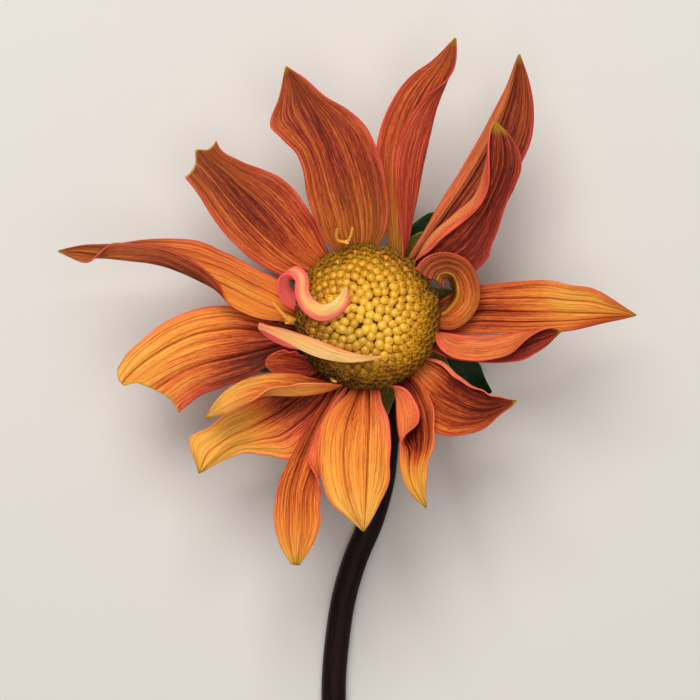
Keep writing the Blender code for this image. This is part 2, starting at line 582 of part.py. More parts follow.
def main():
    for obj in list(bpy.data.objects):
        bpy.data.objects.remove(obj)
    make_materials()
    head = bpy.data.objects.new("head", None)
    bpy.context.scene.collection.objects.link(head)
    build_petals(head)
    build_disc(head)
    build_open_florets(head)
    receptacle = turned_solid(RECEPTACLE_PROFILE, RECEPTACLE_SIDES)
    add_object("receptacle", *receptacle, "receptacle_green", head)
    build_bracts(head)
    stem = tube(STEM_SPINE, STEM_RADIUS, STEM_ROWS, STEM_SIDES, lowest=STEM_LINE_Z)
    add_object("stem", *stem, "stem_maroon", head)
    set_down(head)


main()
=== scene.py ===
# %% [markdown]
# # A cut dahlia in Blender
# This lesson dresses the plain solids of a dahlia, which lies on its back on a table, with fine petals, a
# disc of florets, bracts and a stem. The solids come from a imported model, and everything here is placed
# by them. We work in the head's own frame, in millimetres: x and y run across the open face, z out of it.
# One function turns that into the metres of the scene.

# %% Load the solids
import math

import bmesh
import bpy
import numpy as np
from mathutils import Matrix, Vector


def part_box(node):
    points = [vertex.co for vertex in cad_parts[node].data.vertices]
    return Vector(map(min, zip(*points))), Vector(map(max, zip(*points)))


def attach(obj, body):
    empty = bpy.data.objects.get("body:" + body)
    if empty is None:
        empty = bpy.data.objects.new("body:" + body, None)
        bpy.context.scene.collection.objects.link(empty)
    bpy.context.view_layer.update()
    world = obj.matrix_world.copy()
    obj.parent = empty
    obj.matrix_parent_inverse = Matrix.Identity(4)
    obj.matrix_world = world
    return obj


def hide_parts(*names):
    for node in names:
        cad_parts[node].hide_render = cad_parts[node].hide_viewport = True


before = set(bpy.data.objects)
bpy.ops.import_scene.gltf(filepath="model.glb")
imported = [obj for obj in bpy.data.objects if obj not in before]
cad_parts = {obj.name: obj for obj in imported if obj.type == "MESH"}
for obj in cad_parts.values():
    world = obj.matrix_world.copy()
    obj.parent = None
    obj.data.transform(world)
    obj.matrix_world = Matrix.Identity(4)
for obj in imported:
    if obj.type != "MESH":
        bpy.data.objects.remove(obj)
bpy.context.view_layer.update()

MM = 0.001
RECEPTACLE_TOP = -1.05  # height of the receptacle's top face in the head's frame
low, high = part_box("receptacle")
HEAD = np.array([(low.x + high.x) / 2, (low.y + high.y) / 2, high.z - RECEPTACLE_TOP * MM])
print("the head's middle is at", [round(float(v), 5) for v in HEAD], "metres")


def place(points):
    """Points of the head's frame, in millimetres, as points of the scene, in metres."""
    return HEAD + np.asarray(points, float) * MM


# %% [markdown]
# ## Sums of sockets
# A material or a Geometry Nodes tree is a sum of many small nodes. Written out node by node it is long
# and hard to read, so we wrap a socket in a small class whose +, -, * and / add the Math nodes for us.
# Then a formula in the tree looks like a formula on paper. Colours never go through Math nodes, which
# would turn them grey: they are mixed.

# %% Wires
class Wire:
    """A node's output that can be used in Python sums."""

    def __init__(self, board, socket):
        self.board = board
        self.socket = socket

    def __add__(self, other):
        return self.board.math("ADD", self, other)

    def __radd__(self, other):
        return self.board.math("ADD", other, self)

    def __sub__(self, other):
        return self.board.math("SUBTRACT", self, other)

    def __rsub__(self, other):
        return self.board.math("SUBTRACT", other, self)

    def __mul__(self, other):
        return self.board.math("MULTIPLY", self, other)

    def __rmul__(self, other):
        return self.board.math("MULTIPLY", other, self)

    def __truediv__(self, other):
        return self.board.math("DIVIDE", self, other)

    def __pow__(self, other):
        return self.board.math("POWER", self, other)

    def __abs__(self):
        return self.board.math("ABSOLUTE", self)


print("a wire takes +, -, *, /, ** and abs()")

# %% Boards
class Board:
    """A node tree to which Python expressions add nodes."""

    def __init__(self, tree):
        self.tree = tree

    def plug(self, socket, value):
        if isinstance(value, Wire):
            self.tree.links.new(value.socket, socket)
        else:
            socket.default_value = value

    def node(self, kind, settings=None, inputs=None, output=0):
        """Add a node: its settings first, then its sockets, and hand back one of its outputs."""
        made = self.tree.nodes.new(kind)
        for name, value in (settings or {}).items():
            if name == "stops":
                self.set_stops(made.color_ramp, value)
            else:
                setattr(made, name, value)
        for name, value in (inputs or {}).items():
            self.plug(made.inputs[name], value)
        return Wire(self, made.outputs[output])

    def set_stops(self, ramp, stops):
        while len(ramp.elements) < len(stops):
            ramp.elements.new(0.5)
        for element, (place_on_ramp, colour) in zip(ramp.elements, stops):
            element.position = place_on_ramp
            element.color = (*colour, 1.0)

    def math(self, operation, *values):
        return self.node("ShaderNodeMath", {"operation": operation}, dict(enumerate(values)))

    def clamp(self, value):
        return self.node("ShaderNodeClamp", {}, {0: value})

    def step(self, value, start, end):
        """0 before start, 1 after end, and a smooth rise between them."""
        return self.node("ShaderNodeMapRange", {"interpolation_type": "SMOOTHSTEP"},
                         {"Value": value, "From Min": start, "From Max": end})

    def mix(self, factor, first, second):
        """A colour between two colours."""
        rgba = [c if isinstance(c, Wire) else (*c, 1.0) for c in (first, second)]
        return self.node("ShaderNodeMix", {"data_type": "RGBA"}, {0: factor, 6: rgba[0], 7: rgba[1]}, 2)

    def split(self, vector):
        """The three numbers of a vector."""
        x = self.node("ShaderNodeSeparateXYZ", {}, {0: vector})
        outputs = x.socket.node.outputs
        return x, Wire(self, outputs[1]), Wire(self, outputs[2])

    def join(self, x, y, z):
        return self.node("ShaderNodeCombineXYZ", {}, {0: x, 1: y, 2: z})

    def noise(self, vector, scale, detail=2.0, roughness=0.5):
        return self.node("ShaderNodeTexNoise", {},
                         {"Vector": vector, "Scale": scale, "Detail": detail, "Roughness": roughness})


print("a board adds nodes to a tree")

# %% Finishes
class Finish(Board):
    """A material built around one Principled shader."""

    def __init__(self, name, roughness, **constants):
        self.material = bpy.data.materials.new(name)
        self.material.use_nodes = True
        super().__init__(self.material.node_tree)
        self.shader = self.tree.nodes["Principled BSDF"]
        self.shader.inputs["Roughness"].default_value = roughness
        for socket, value in constants.items():
            self.shader.inputs[socket.replace("_", " ")].default_value = value

    def attribute(self, name, output="Vector"):
        return self.node("ShaderNodeAttribute", {"attribute_name": name}, output=output)

    def here(self):
        """Object coordinates in millimetres."""
        spot = self.node("ShaderNodeTexCoord", output="Object")
        return self.node("ShaderNodeVectorMath", {"operation": "SCALE"}, {0: spot, "Scale": 1 / MM})

    def colour(self, value):
        self.plug(self.shader.inputs["Base Color"], value)

    def rough(self, value):
        self.plug(self.shader.inputs["Roughness"], value)

    def relief(self, height, depth):
        """Bumps of so many millimetres where height goes from 0 to 1."""
        bump = self.node("ShaderNodeBump", {}, {"Strength": 1.0, "Distance": depth * MM, "Height": height})
        self.plug(self.shader.inputs["Normal"], bump)


print("a finish is a board with a shader and a material")

# %% [markdown]
# ## Smooth tables and midribs
# A petal is easy to describe by a few numbers: where its midrib runs, how wide it is at even stations
# along it, and how far each half turns over. Everything between the stations is a Catmull-Rom curve,
# which passes through the given numbers and has no corners. A midrib also needs a facing that twists as
# little as it can, or the petal would spin like a propeller.

# %% Curves through tables and midribs
SPINE_STEPS = 240
HALF_STEPS = 24


def smooth(values, u):
    """A value or point at u (0 root, 1 tip) of a Catmull-Rom curve through values at even stations."""
    knots = np.atleast_1d(np.asarray(values, float))
    u = np.asarray(u, float)
    if len(knots) == 1:
        return np.full(u.shape, knots[0])
    spans = len(knots) - 1
    knots = np.concatenate([[2 * knots[0] - knots[1]], knots, [2 * knots[-1] - knots[-2]]])
    station = np.clip(u, 0, 1) * spans
    i = np.minimum(station.astype(int), spans - 1)
    t = station - i
    if knots.ndim > 1:
        t = t[..., None]
    a, b, c, d = (knots[i + k] for k in range(4))
    return 0.5 * (2 * b + (c - a) * t + (2 * a - 5 * b + 4 * c - d) * t**2 + (3 * b - a - 3 * c + d) * t**3)


def unit(vectors):
    return vectors / np.linalg.norm(vectors, axis=-1, keepdims=True)


class Spine:
    """A smooth midrib with a direction and a facing that turns as little as it can along it."""

    def __init__(self, points, facing=(0, 0, 1)):
        line = smooth(np.array(points, float), np.linspace(0, 1, SPINE_STEPS))
        run = np.concatenate([[0], np.cumsum(np.linalg.norm(np.diff(line, axis=0), axis=1))])
        self.u = run / run[-1]
        self.line = line
        self.tangent = unit(np.gradient(line, run, axis=0))
        normal = np.array(facing, float)
        normals = []
        for along in self.tangent:
            normal = unit(normal - normal.dot(along) * along)
            normals.append(normal)
        self.normal = np.array(normals)

    def read(self, table, u):
        return np.stack([np.interp(u, self.u, table[:, k]) for k in range(3)], axis=-1)

    def frame(self, u):
        """Point, direction, side and facing at u."""
        tangent = unit(self.read(self.tangent, u))
        normal = self.read(self.normal, u)
        normal = unit(normal - (normal * tangent).sum(-1, keepdims=True) * tangent)
        return self.read(self.line, u), tangent, np.cross(tangent, normal), normal


print("a midrib is followed in", SPINE_STEPS, "steps")

# %% [markdown]
# ## The petals' shapes
# Each ray petal has a midrib from root to tip and the half-widths on its left and right, seen from the
# front with the tip up. A half turns by "turn" degrees towards the front, around the share "at" of its
# width and over the share "soft" of it, and "lift" tilts it from the midrib on. "reach" is how far the
# tip runs across the blade, as shares of the midrib, which makes teeth, notches and lobes. These are the
# sizes of the solids, so the fine petals lie where the solids are.

# %% Petal table
PETALS = {
    "petal_01_top_broad": dict(
        spine=[(-2.4, 10.9, -1.4), (-3.0, 15.5, 0.0), (-4.4, 22.5, 2.2), (-7.2, 31.5, 4.6),
               (-11.2, 41.0, 6.6), (-16.0, 49.2, 8.5)],
        left=[1.3, 4.9, 6.5, 7.0, 6.9, 6.3, 6.2, 7.9, 8.6, 4.3, 0.2],
        right=[1.3, 6.2, 8.1, 9.0, 9.6, 9.5, 9.1, 6.8, 3.8, 2.1, 0.2],
        left_turn=20, right_turn=24,
    ),
    "petal_02_top_folded": dict(
        spine=[(6.2, 9.2, -3.4), (7.8, 14.5, -2.8), (9.2, 23.0, -1.0), (10.4, 31.0, 1.2),
               (12.8, 40.5, 3.6), (16.0, 48.4, 6.4), (17.4, 54.8, 8.6)],
        left=[1.3, 3.5, 5.5, 7.0, 8.2, 9.0, 8.8, 7.8, 6.0, 3.2, 0.2],
        right=[1.3, 1.8, 3.0, 4.8, 6.6, 7.4, 6.8, 4.6, 2.8, 1.8, 0.2],
        right_turn=[40, 120, 165, 165, 165, 165, 165, 160, 120, 60, 20],
        right_at=0.15, right_soft=0.3, left_lift=-4,
    ),
    "petal_03_back_spear": dict(
        spine=[(7.0, 7.9, -5.2), (10.0, 12.6, -4.8), (15.4, 20.2, -3.2), (20.5, 27.6, -1.2),
               (24.9, 35.3, 0.8), (28.1, 42.8, 3.0), (30.2, 51.8, 6.0)],
        left=[1.3, 1.1, 1.5, 2.0, 2.4, 2.5, 2.5, 2.3, 1.8, 1.0, 0.2],
        right=[1.3, 2.8, 4.6, 5.9, 6.9, 7.3, 7.5, 7.3, 5.7, 3.3, 0.2],
        left_lift=-14, right_lift=4,
    ),
    "petal_04_hooded": dict(
        spine=[(8.4, 7.2, -1.4), (12.6, 14.4, 1.0), (17.6, 19.0, 3.0), (22.2, 23.2, 5.0),
               (24.3, 29.0, 7.2), (25.1, 34.5, 8.8), (25.4, 38.2, 8.8)],
        left=[1.2, 1.5, 2.8, 3.8, 4.0, 4.0, 3.9, 3.6, 3.0, 2.2, 0.3],
        right=[1.2, 5.6, 8.4, 10.2, 10.0, 7.9, 5.4, 5.7, 6.0, 4.4, 0.3],
        left_turn=[0, 80, 150, 150, 150, 150, 150, 140, 120, 80, 30],
        left_at=0.3, left_soft=0.6,
    ),
    "petal_05_ram_horn": dict(
        spine=[(10.8, -1.4, -1.5), (13.2, -1.0, -0.7), (16.6, -1.0, 1.2), (19.4, 1.0, 2.6),
               (20.6, 3.8, 3.8), (20.2, 6.8, 4.8), (18.4, 9.2, 5.6), (15.6, 10.0, 6.4),
               (13.2, 9.2, 7.0), (12.0, 7.4, 7.4)],
        left=[1.2, 2.0, 3.6, 4.6, 4.9, 4.9, 4.6, 3.8, 2.9, 3.0, 3.6],
        right=[1.1, 1.3, 1.6, 1.9, 1.9, 1.9, 2.0, 2.3, 2.6, 2.8, 3.1],
        left_turn=[0, -10, -40, -60, -65, -65, -62, -50, -25, -8, 0], left_at=0.5, left_soft=0.35,
        left_lift=[0, 0, 5, 12, 22, 31, 38, 45, 53, 60, 64],
        right_lift=[0, 0, -12, -22, -32, -40, -48, -55, -62, -68, -70],
        reach=[1.0, 0.985, 1.0, 0.995, 0.98],
    ),
    "petal_06_right_long": dict(
        spine=[(10.8, -0.8, -3.4), (15.6, -0.4, -2.8), (22.6, 1.0, -0.8), (30.6, 0.8, 2.0),
               (38.6, 0.6, 4.5), (46.6, 0.4, 7.0), (53.0, 0.1, 9.5)],
        left=[1.3, 3.6, 5.0, 5.4, 5.9, 6.5, 6.6, 5.8, 5.2, 2.9, 0.2],
        right=[1.3, 3.0, 4.4, 4.8, 4.8, 4.6, 4.2, 3.6, 2.6, 1.4, 0.2],
        left_lift=14, right_lift=14,
    ),
    "petal_07_right_folded": dict(
        spine=[(10.3, -4.4, -1.4), (14.6, -4.0, -0.8), (19.2, -4.7, 2.4), (23.6, -5.0, 4.4),
               (28.0, -4.6, 6.4), (32.4, -3.6, 8.4), (35.8, -3.2, 10.0), (38.2, -3.1, 11.0)],
        left=[1.2, 1.8, 4.2, 5.6, 5.9, 5.9, 5.6, 4.4, 3.0, 1.6, 0.2],
        right=[1.3, 3.2, 4.2, 4.3, 4.3, 4.4, 4.6, 4.7, 4.0, 2.6, 0.2],
        left_turn=[0, 30, 140, 168, 168, 165, 160, 150, 125, 70, 20],
        left_at=0.15, left_soft=0.3, right_lift=-6,
    ),
    "petal_08_lower_right": dict(
        spine=[(7.2, -7.9, -3.4), (11.8, -13.0, -1.0), (16.6, -16.8, 3.5), (21.8, -18.8, 8.5),
               (26.0, -18.2, 12.5), (29.0, -16.8, 15.5)],
        left=[1.3, 4.0, 6.0, 6.6, 6.2, 5.8, 5.4, 4.6, 3.4, 1.8, 0.2],
        right=[1.3, 2.5, 4.6, 6.4, 7.2, 7.2, 6.6, 5.2, 3.4, 1.6, 0.2],
        left_turn=[20, 120, 150, 150, 150, 140, 120, 100, 80, 40, 10],
        left_at=0.8, left_soft=0.35,
    ),
    "petal_09_right_scoop": dict(
        spine=[(4.2, -10.3, -1.4), (6.4, -12.8, -0.6), (8.8, -16.4, 1.6), (10.2, -21.2, 5.0),
               (10.4, -26.0, 8.5), (9.6, -30.2, 11.8), (10.0, -34.0, 14.8), (11.4, -37.4, 17.6)],
        left=[1.3, 2.6, 3.4, 3.9, 4.2, 4.0, 3.5, 3.0, 2.3, 1.3, 0.2],
        right=[1.2, 3.0, 6.0, 8.4, 9.6, 8.8, 4.9, 3.5, 2.7, 1.5, 0.2],
        right_turn=[0, 60, 150, 168, 170, 150, 70, 40, 30, 15, 0],
        right_at=0.44, right_soft=0.25,
        left_turn=[0, 0, 10, 25, 40, 40, 35, 30, 20, 10, 0], left_soft=0.4,
    ),
    "petal_10_bottom_broad": dict(
        spine=[(-0.2, -11.2, -1.4), (-1.0, -17.0, 1.5), (-2.0, -25.0, 7.0), (-2.2, -33.0, 13.0),
               (-0.8, -42.0, 19.6)],
        left=[1.3, 3.2, 4.7, 6.0, 6.7, 7.0, 7.0, 6.5, 4.9, 2.8, 0.2],
        right=[1.3, 2.4, 4.8, 7.0, 7.7, 7.7, 7.2, 6.5, 5.4, 2.8, 0.2],
        left_turn=[0, 30, 50, 20, -10, -20, -20, -10, 0, 0, 0], right_turn=-14,
    ),
    "petal_11_left_scoop": dict(
        spine=[(-3.2, -10.4, -3.4), (-7.2, -17.4, -1.4), (-10.0, -22.6, 1.6), (-12.4, -28.4, 5.0),
               (-13.8, -34.2, 8.6), (-14.0, -39.8, 12.0), (-14.0, -44.6, 14.8), (-14.0, -48.6, 17.2)],
        left=[1.3, 2.5, 4.0, 6.0, 7.8, 8.2, 6.0, 4.8, 4.9, 3.4, 0.9],
        right=[1.3, 1.4, 1.5, 1.9, 2.2, 2.8, 3.7, 4.3, 4.5, 3.5, 0.9],
        left_turn=[0, 100, 165, 165, 165, 160, 90, 30, 20, 0, 0],
        left_at=0.5, left_soft=0.25,
    ),
    "petal_12_lower_left": dict(
        spine=[(-5.8, -9.0, -5.2), (-10.6, -15.2, -3.8), (-16.4, -19.8, -1.8), (-22.4, -23.2, 0.8),
               (-28.4, -26.0, 4.0), (-33.3, -31.1, 7.0)],
        left=[1.3, 4.0, 6.2, 7.6, 8.2, 8.4, 5.4, 3.2, 2.6, 1.5, 0.2],
        right=[1.3, 3.5, 5.0, 5.6, 5.8, 5.8, 5.8, 5.8, 4.9, 5.8, 0.2],
    ),
    "petal_13_boat": dict(
        spine=[(-4.5, -10.2, -1.4), (-6.2, -13.6, -0.4), (-11.0, -15.0, 2.6), (-15.6, -15.3, 4.4),
               (-20.0, -15.2, 6.2), (-24.4, -16.2, 8.0), (-28.2, -18.2, 9.5), (-31.8, -20.2, 11.0)],
        left=[1.2, 2.6, 3.8, 3.8, 3.2, 2.0, 1.4, 0.2],
        right=[1.2, 1.2, 2.8, 4.0, 3.8, 3.4, 2.6, 0.2],
        left_turn=[0, 80, 115, 115, 100, 50, 10, 0], left_at=0.2, left_soft=0.4,
        right_turn=[0, 0, 50, 50, 30, 0, 0, 0],
    ),
    "petal_14_small_cup": dict(
        spine=[(-8.0, -7.6, -1.4), (-12.0, -10.2, 0.4), (-16.2, -10.2, 2.4), (-20.2, -9.6, 4.2)],
        left=[1.2, 1.8, 2.1, 1.8], right=[1.2, 2.2, 4.2, 2.8],
        right_turn=[0, 60, 90, 50], reach=[0.84, 0.95, 1.0, 0.97, 0.84],
    ),
    "petal_15_left_broad": dict(
        spine=[(-10.1, -3.8, -5.2), (-17.4, -4.8, -4.2), (-25.4, -5.8, -2.4), (-33.4, -7.2, -0.4),
               (-40.4, -10.2, 2.0), (-45.6, -13.4, 3.8), (-47.6, -15.0, 4.4)],
        left=[1.3, 2.5, 4.0, 5.8, 7.2, 8.0, 8.3, 8.6, 9.5, 9.9, 9.9],
        right=[1.3, 2.2, 3.8, 6.2, 8.2, 8.6, 8.5, 8.0, 7.1, 6.1, 4.2],
        left_turn=-14, right_turn=-18, reach=[0.82, 0.83, 0.876, 0.935, 1.0, 1.0, 0.965],
    ),
    "petal_16_left_twisted": dict(
        spine=[(-11.1, -0.8, -3.4), (-16.4, 1.8, -1.0), (-22.2, 4.6, 0.8), (-28.0, 7.6, 2.6),
               (-32.0, 9.0, 3.6), (-37.4, 10.6, 4.8), (-43.4, 12.2, 6.0), (-47.8, 12.8, 6.8),
               (-52.2, 13.2, 7.6), (-56.6, 13.3, 8.3), (-61.0, 12.7, 9.0)],
        left=[1.3, 2.8, 4.4, 4.7, 4.8, 5.2, 4.9, 5.3, 5.1, 3.6, 0.2],
        right=[1.3, 3.6, 4.4, 4.3, 4.6, 5.2, 4.2, 2.6, 1.2, 0.7, 0.2],
        left_turn=[0, 0, 0, 70, 168, 174, 174, 174, 165, 60, 0],
        left_at=[1, 1, 1, 0.97, 0.62, 0.4, 0.3, 0.33, 0.35, 0.38, 0.4], left_soft=0.32,
    ),
    "petal_17_upper_left": dict(
        spine=[(-7.2, 8.0, -3.4), (-13.4, 12.0, -1.5), (-18.4, 16.8, 0.5), (-23.8, 22.2, 2.5),
               (-29.0, 27.8, 4.5), (-33.9, 32.8, 6.5)],
        left=[1.3, 3.4, 5.3, 6.6, 7.4, 7.6, 7.4, 7.0, 6.1, 5.7, 5.3],
        right=[1.3, 4.4, 6.3, 7.5, 8.3, 8.8, 8.4, 6.7, 4.9, 3.6, 4.8],
        left_turn=16, right_turn=20, reach=[0.945, 0.94, 0.955, 1.0, 0.965, 0.955, 0.965],
    ),
    "petal_18_inner_hook": dict(
        spine=[(-10.6, 2.9, -1.4), (-14.6, 3.0, 0.5), (-16.7, 5.4, 3.0), (-16.3, 8.2, 5.5),
               (-14.6, 8.9, 7.5), (-13.0, 7.4, 8.6), (-12.8, 4.4, 8.8), (-11.6, 2.0, 9.5),
               (-9.2, 0.6, 10.3), (-6.6, 1.2, 11.2), (-4.8, 3.2, 11.3), (-4.0, 6.0, 11.4)],
        left=[1.2, 1.6, 1.6, 1.6, 1.5, 1.4, 1.4, 1.6, 1.7, 1.7, 1.4, 0.2],
        right=[1.2, 1.6, 1.6, 1.6, 1.5, 1.4, 1.4, 1.6, 1.7, 1.6, 1.2, 0.2],
        left_lift=[0, 0, 0, 0, 0, 25, 40, 60, 72, 78, 75],
        right_lift=[0, 0, 0, 0, 0, -25, -32, -42, -52, -60, -60],
    ),
    "petal_19_inner_strap": dict(
        spine=[(-10.2, -4.6, -1.4), (-13.8, -5.4, 0.2), (-17.6, -4.2, 3.0), (-20.6, -2.5, 5.6),
               (-21.0, -2.2, 7.6), (-16.8, -3.6, 9.0), (-12.6, -5.4, 9.1), (-8.4, -7.0, 9.4),
               (-3.8, -8.2, 10.2), (0.6, -8.4, 10.6), (2.8, -8.1, 10.4)],
        left=[1.2, 1.3, 1.3, 1.1, 0.6, 1.1, 1.5, 1.6, 1.3, 0.7, 0.2],
        right=[1.2, 1.3, 1.3, 1.1, 0.6, 1.1, 1.5, 1.6, 1.3, 0.7, 0.2],
    ),
}
PETAL_DEFAULTS = dict(
    left_lift=0, right_lift=0, left_turn=0, right_turn=0,
    left_at=0.5, right_at=0.5, left_soft=1.0, right_soft=1.0, reach=1.0,
    tip=0.0, crest=None, front={}, back={},
)
print(len(PETALS), "petals are listed")

# %% [markdown]
# ## From a table to a blade
# Each half of a blade is followed outwards from the midrib in small steps whose angle grows where the
# half turns over, which is how a real petal rolls up: its width stays the same and only its direction
# changes. The blade then gets two faces, front and back, a little closer together at the margins, and a
# rim that closes it. The ribs that run from root to tip are raised or sunk lines, so columns of the grid
# are moved to lie on them.

# %% The middle surface of a blade
BLADE_THICKNESS = 0.55  # millimetres, at the midrib
MARGIN_THICKNESS = 0.3
RIB_WIDTH = 0.055  # as a share of the half-width
ROOT_FADE = 0.06  # as a share of the length: where ribs and waves rise
TIP_FADE = 0.04
RUFFLE = 0.18  # millimetres that the margins wave to each side
RUFFLE_WAVES = 4.5  # from root to tip
PIGMENTS_AND_SHADES = ("flush", "pink", "pale", "lime", "dusk")


def blade_points(shape, u, v):
    """Points of a blade's middle surface: u runs from root to tip, v from -1 (left margin) to 1 (right)."""
    u = u * smooth(shape["reach"], (v + 1) / 2)
    centre, _, side, normal = Spine(shape["spine"]).frame(u)
    across = np.zeros(u.shape)
    height = np.zeros(u.shape)
    share = (np.arange(HALF_STEPS) + 0.5) / HALF_STEPS
    for name, sign in (("left", -1), ("right", 1)):
        here = v * sign > 0
        uu = u[here]
        reach = np.abs(v[here])
        width = np.maximum(smooth(shape[name], uu), 0.15)
        steps = reach[:, None] * share
        at = smooth(shape[name + "_at"], uu)[:, None]
        bend = np.clip((steps - at) / shape[name + "_soft"] + 0.5, 0, 1)
        bend = bend * bend * (3 - 2 * bend)
        lift = smooth(shape[name + "_lift"], uu)[:, None]
        turn = smooth(shape[name + "_turn"], uu)[:, None]
        angle = np.radians(lift + turn * bend)
        step = (width * reach / HALF_STEPS)[:, None]
        across[here] = sign * (np.cos(angle) * step).sum(1)
        height[here] = (np.sin(angle) * step).sum(1)
    return centre + across[..., None] * side + height[..., None] * normal


def columns_on(ribs, count):
    """Even columns from -1 to 1, with the nearest one moved onto each rib."""
    v = np.linspace(-1, 1, count + 1)
    for rib in ribs:
        v[np.abs(v - rib).argmin()] = rib
    return v


def table_value(table, u, v):
    """A value from a small table: rows run from root to tip, and each row from left to right."""
    rows = [np.atleast_1d(row) for row in table]
    width = max(len(row) for row in rows)
    rows = [row if len(row) == width else np.full(width, row[0]) for row in rows]
    columns = [smooth([row[k] for row in rows], u) for k in range(width)]
    if width == 1:
        return columns[0]
    place_across = (v + 1) / 2 * (width - 1)
    weights = [np.clip(1 - np.abs(place_across - k), 0, 1) for k in range(width)]
    return sum(w * c for w, c in zip(weights, columns))


print("each half of a blade is followed outwards in", HALF_STEPS, "steps")

# %% Meshes and pieces
def closed_blade(front, back):
    """Vertices and faces of a closed blade from its two faces' grids."""
    rows, columns = front.shape[:2]
    points = np.concatenate([front.reshape(-1, 3), back.reshape(-1, 3)])
    behind = rows * columns
    i, j = np.meshgrid(np.arange(rows - 1), np.arange(columns - 1), indexing="ij")
    a = (i * columns + j).ravel()
    quads = np.stack([a, a + 1, a + 1 + columns, a + columns], axis=1)
    rim = list(range(columns))
    rim += [k * columns + columns - 1 for k in range(1, rows)]
    rim += [(rows - 1) * columns + k for k in range(columns - 2, -1, -1)]
    rim += [k * columns for k in range(rows - 2, 0, -1)]
    rim = np.array(rim)
    after = np.roll(rim, -1)
    edge = np.stack([after, rim, rim + behind, after + behind], axis=1)
    return points, np.concatenate([quads, quads[:, ::-1] + behind, edge])


def new_object(name, data):
    """Put a mesh, a curve, a lamp or a lens into the scene."""
    obj = bpy.data.objects.new(name, data)
    bpy.context.scene.collection.objects.link(obj)
    return obj


def mesh_piece(name, points, faces, material):
    """A smooth-shaded object at the origin from points in the head's frame."""
    mesh = bpy.data.meshes.new(name)
    mesh.from_pydata(place(points).tolist(), [], [tuple(int(i) for i in face) for face in faces])
    mesh.shade_smooth()
    mesh.materials.append(material)
    return new_object(name, mesh)


def dress(obj, node):
    """Let a finished piece ride on the model's one body and stand for a solid, which is hidden."""
    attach(obj, "root")
    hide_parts(node)


def store(obj, name, values):
    """Give each vertex of a piece a vector that its material can read."""
    layer = obj.data.attributes.new(name, "FLOAT_VECTOR", "POINT")
    layer.data.foreach_set("vector", np.asarray(values, np.float32).ravel())


print("pieces are placed from the head's middle, in the scene's metres")

# %% A whole blade
def blade_piece(name, shape, material, number, rows=110, columns=60):
    """A fine blade with its ribs and its colouring, as one closed mesh."""
    ribs = shape.get("ribs") or ((1.0, 0.0, 0.0),)
    along = np.linspace(0, 1, rows + 1)
    u, v = np.meshgrid(along, columns_on([rib[0] for rib in ribs], columns), indexing="ij")
    middle = blade_points(shape, u, v)
    normal = unit(np.cross(np.gradient(middle, axis=1), np.gradient(middle, axis=0)))
    fade = np.clip(u / ROOT_FADE, 0, 1) * np.clip((1 - u) / TIP_FADE, 0, 1)
    for where, height, _ in ribs:
        middle = middle + (height * fade * np.exp(-((v - where) / RIB_WIDTH) ** 2))[..., None] * normal
    phase = RUFFLE_WAVES * u + 0.37 * number + 0.3 * v
    wave = RUFFLE * fade * np.abs(v) ** 3 * np.sin(2 * math.pi * phase)
    middle = middle + wave[..., None] * normal
    half = (MARGIN_THICKNESS + (BLADE_THICKNESS - MARGIN_THICKNESS) * (1 - v**4)) / 2
    front = middle + half[..., None] * normal
    back = middle - half[..., None] * normal
    obj = mesh_piece(name, *closed_blade(front, back), material)
    both = [grid.ravel() for grid in (v, u, np.full(u.shape, float(number)))]
    store(obj, "blade", np.tile(np.stack(both, axis=1), (2, 1)))
    tip = np.clip((u - 1) / shape["tip"] + 1, 0, 1) if shape["tip"] else np.zeros(u.shape)
    away = np.array([np.abs(v - where) for where, _, _ in ribs])
    # A rib's glow is a painted highlight along a raised rib, and painted shade along a sunk one where it is
    # below zero.
    glow = np.array([rib[2] for rib in ribs])[away.argmin(axis=0)]
    crest = np.ones(u.shape) if shape["crest"] is None else np.abs(v - shape["crest"])
    store(obj, "line", np.tile(np.stack([away.min(axis=0), glow, crest], axis=-1).reshape(-1, 3), (2, 1)))
    tones = []
    marks = []
    for side in ("front", "back"):
        # The red and the dark brown tables also hold painted shade: they are laid on thick in hollows, in
        # folds and under the petal above.
        flush, pink, pale, lime, dusk = (table_value(shape[side].get(key, (0,)), u, v) for key in PIGMENTS_AND_SHADES)
        tones.append(np.stack([flush, pink, pale], axis=-1).reshape(-1, 3))
        marks.append(np.stack([np.maximum(lime, tip), dusk, np.zeros(u.shape)], axis=-1).reshape(-1, 3))
    store(obj, "tone", np.concatenate(tones))
    store(obj, "mark", np.concatenate(marks))
    return obj


print("a blade is", BLADE_THICKNESS, "mm thick at its midrib")
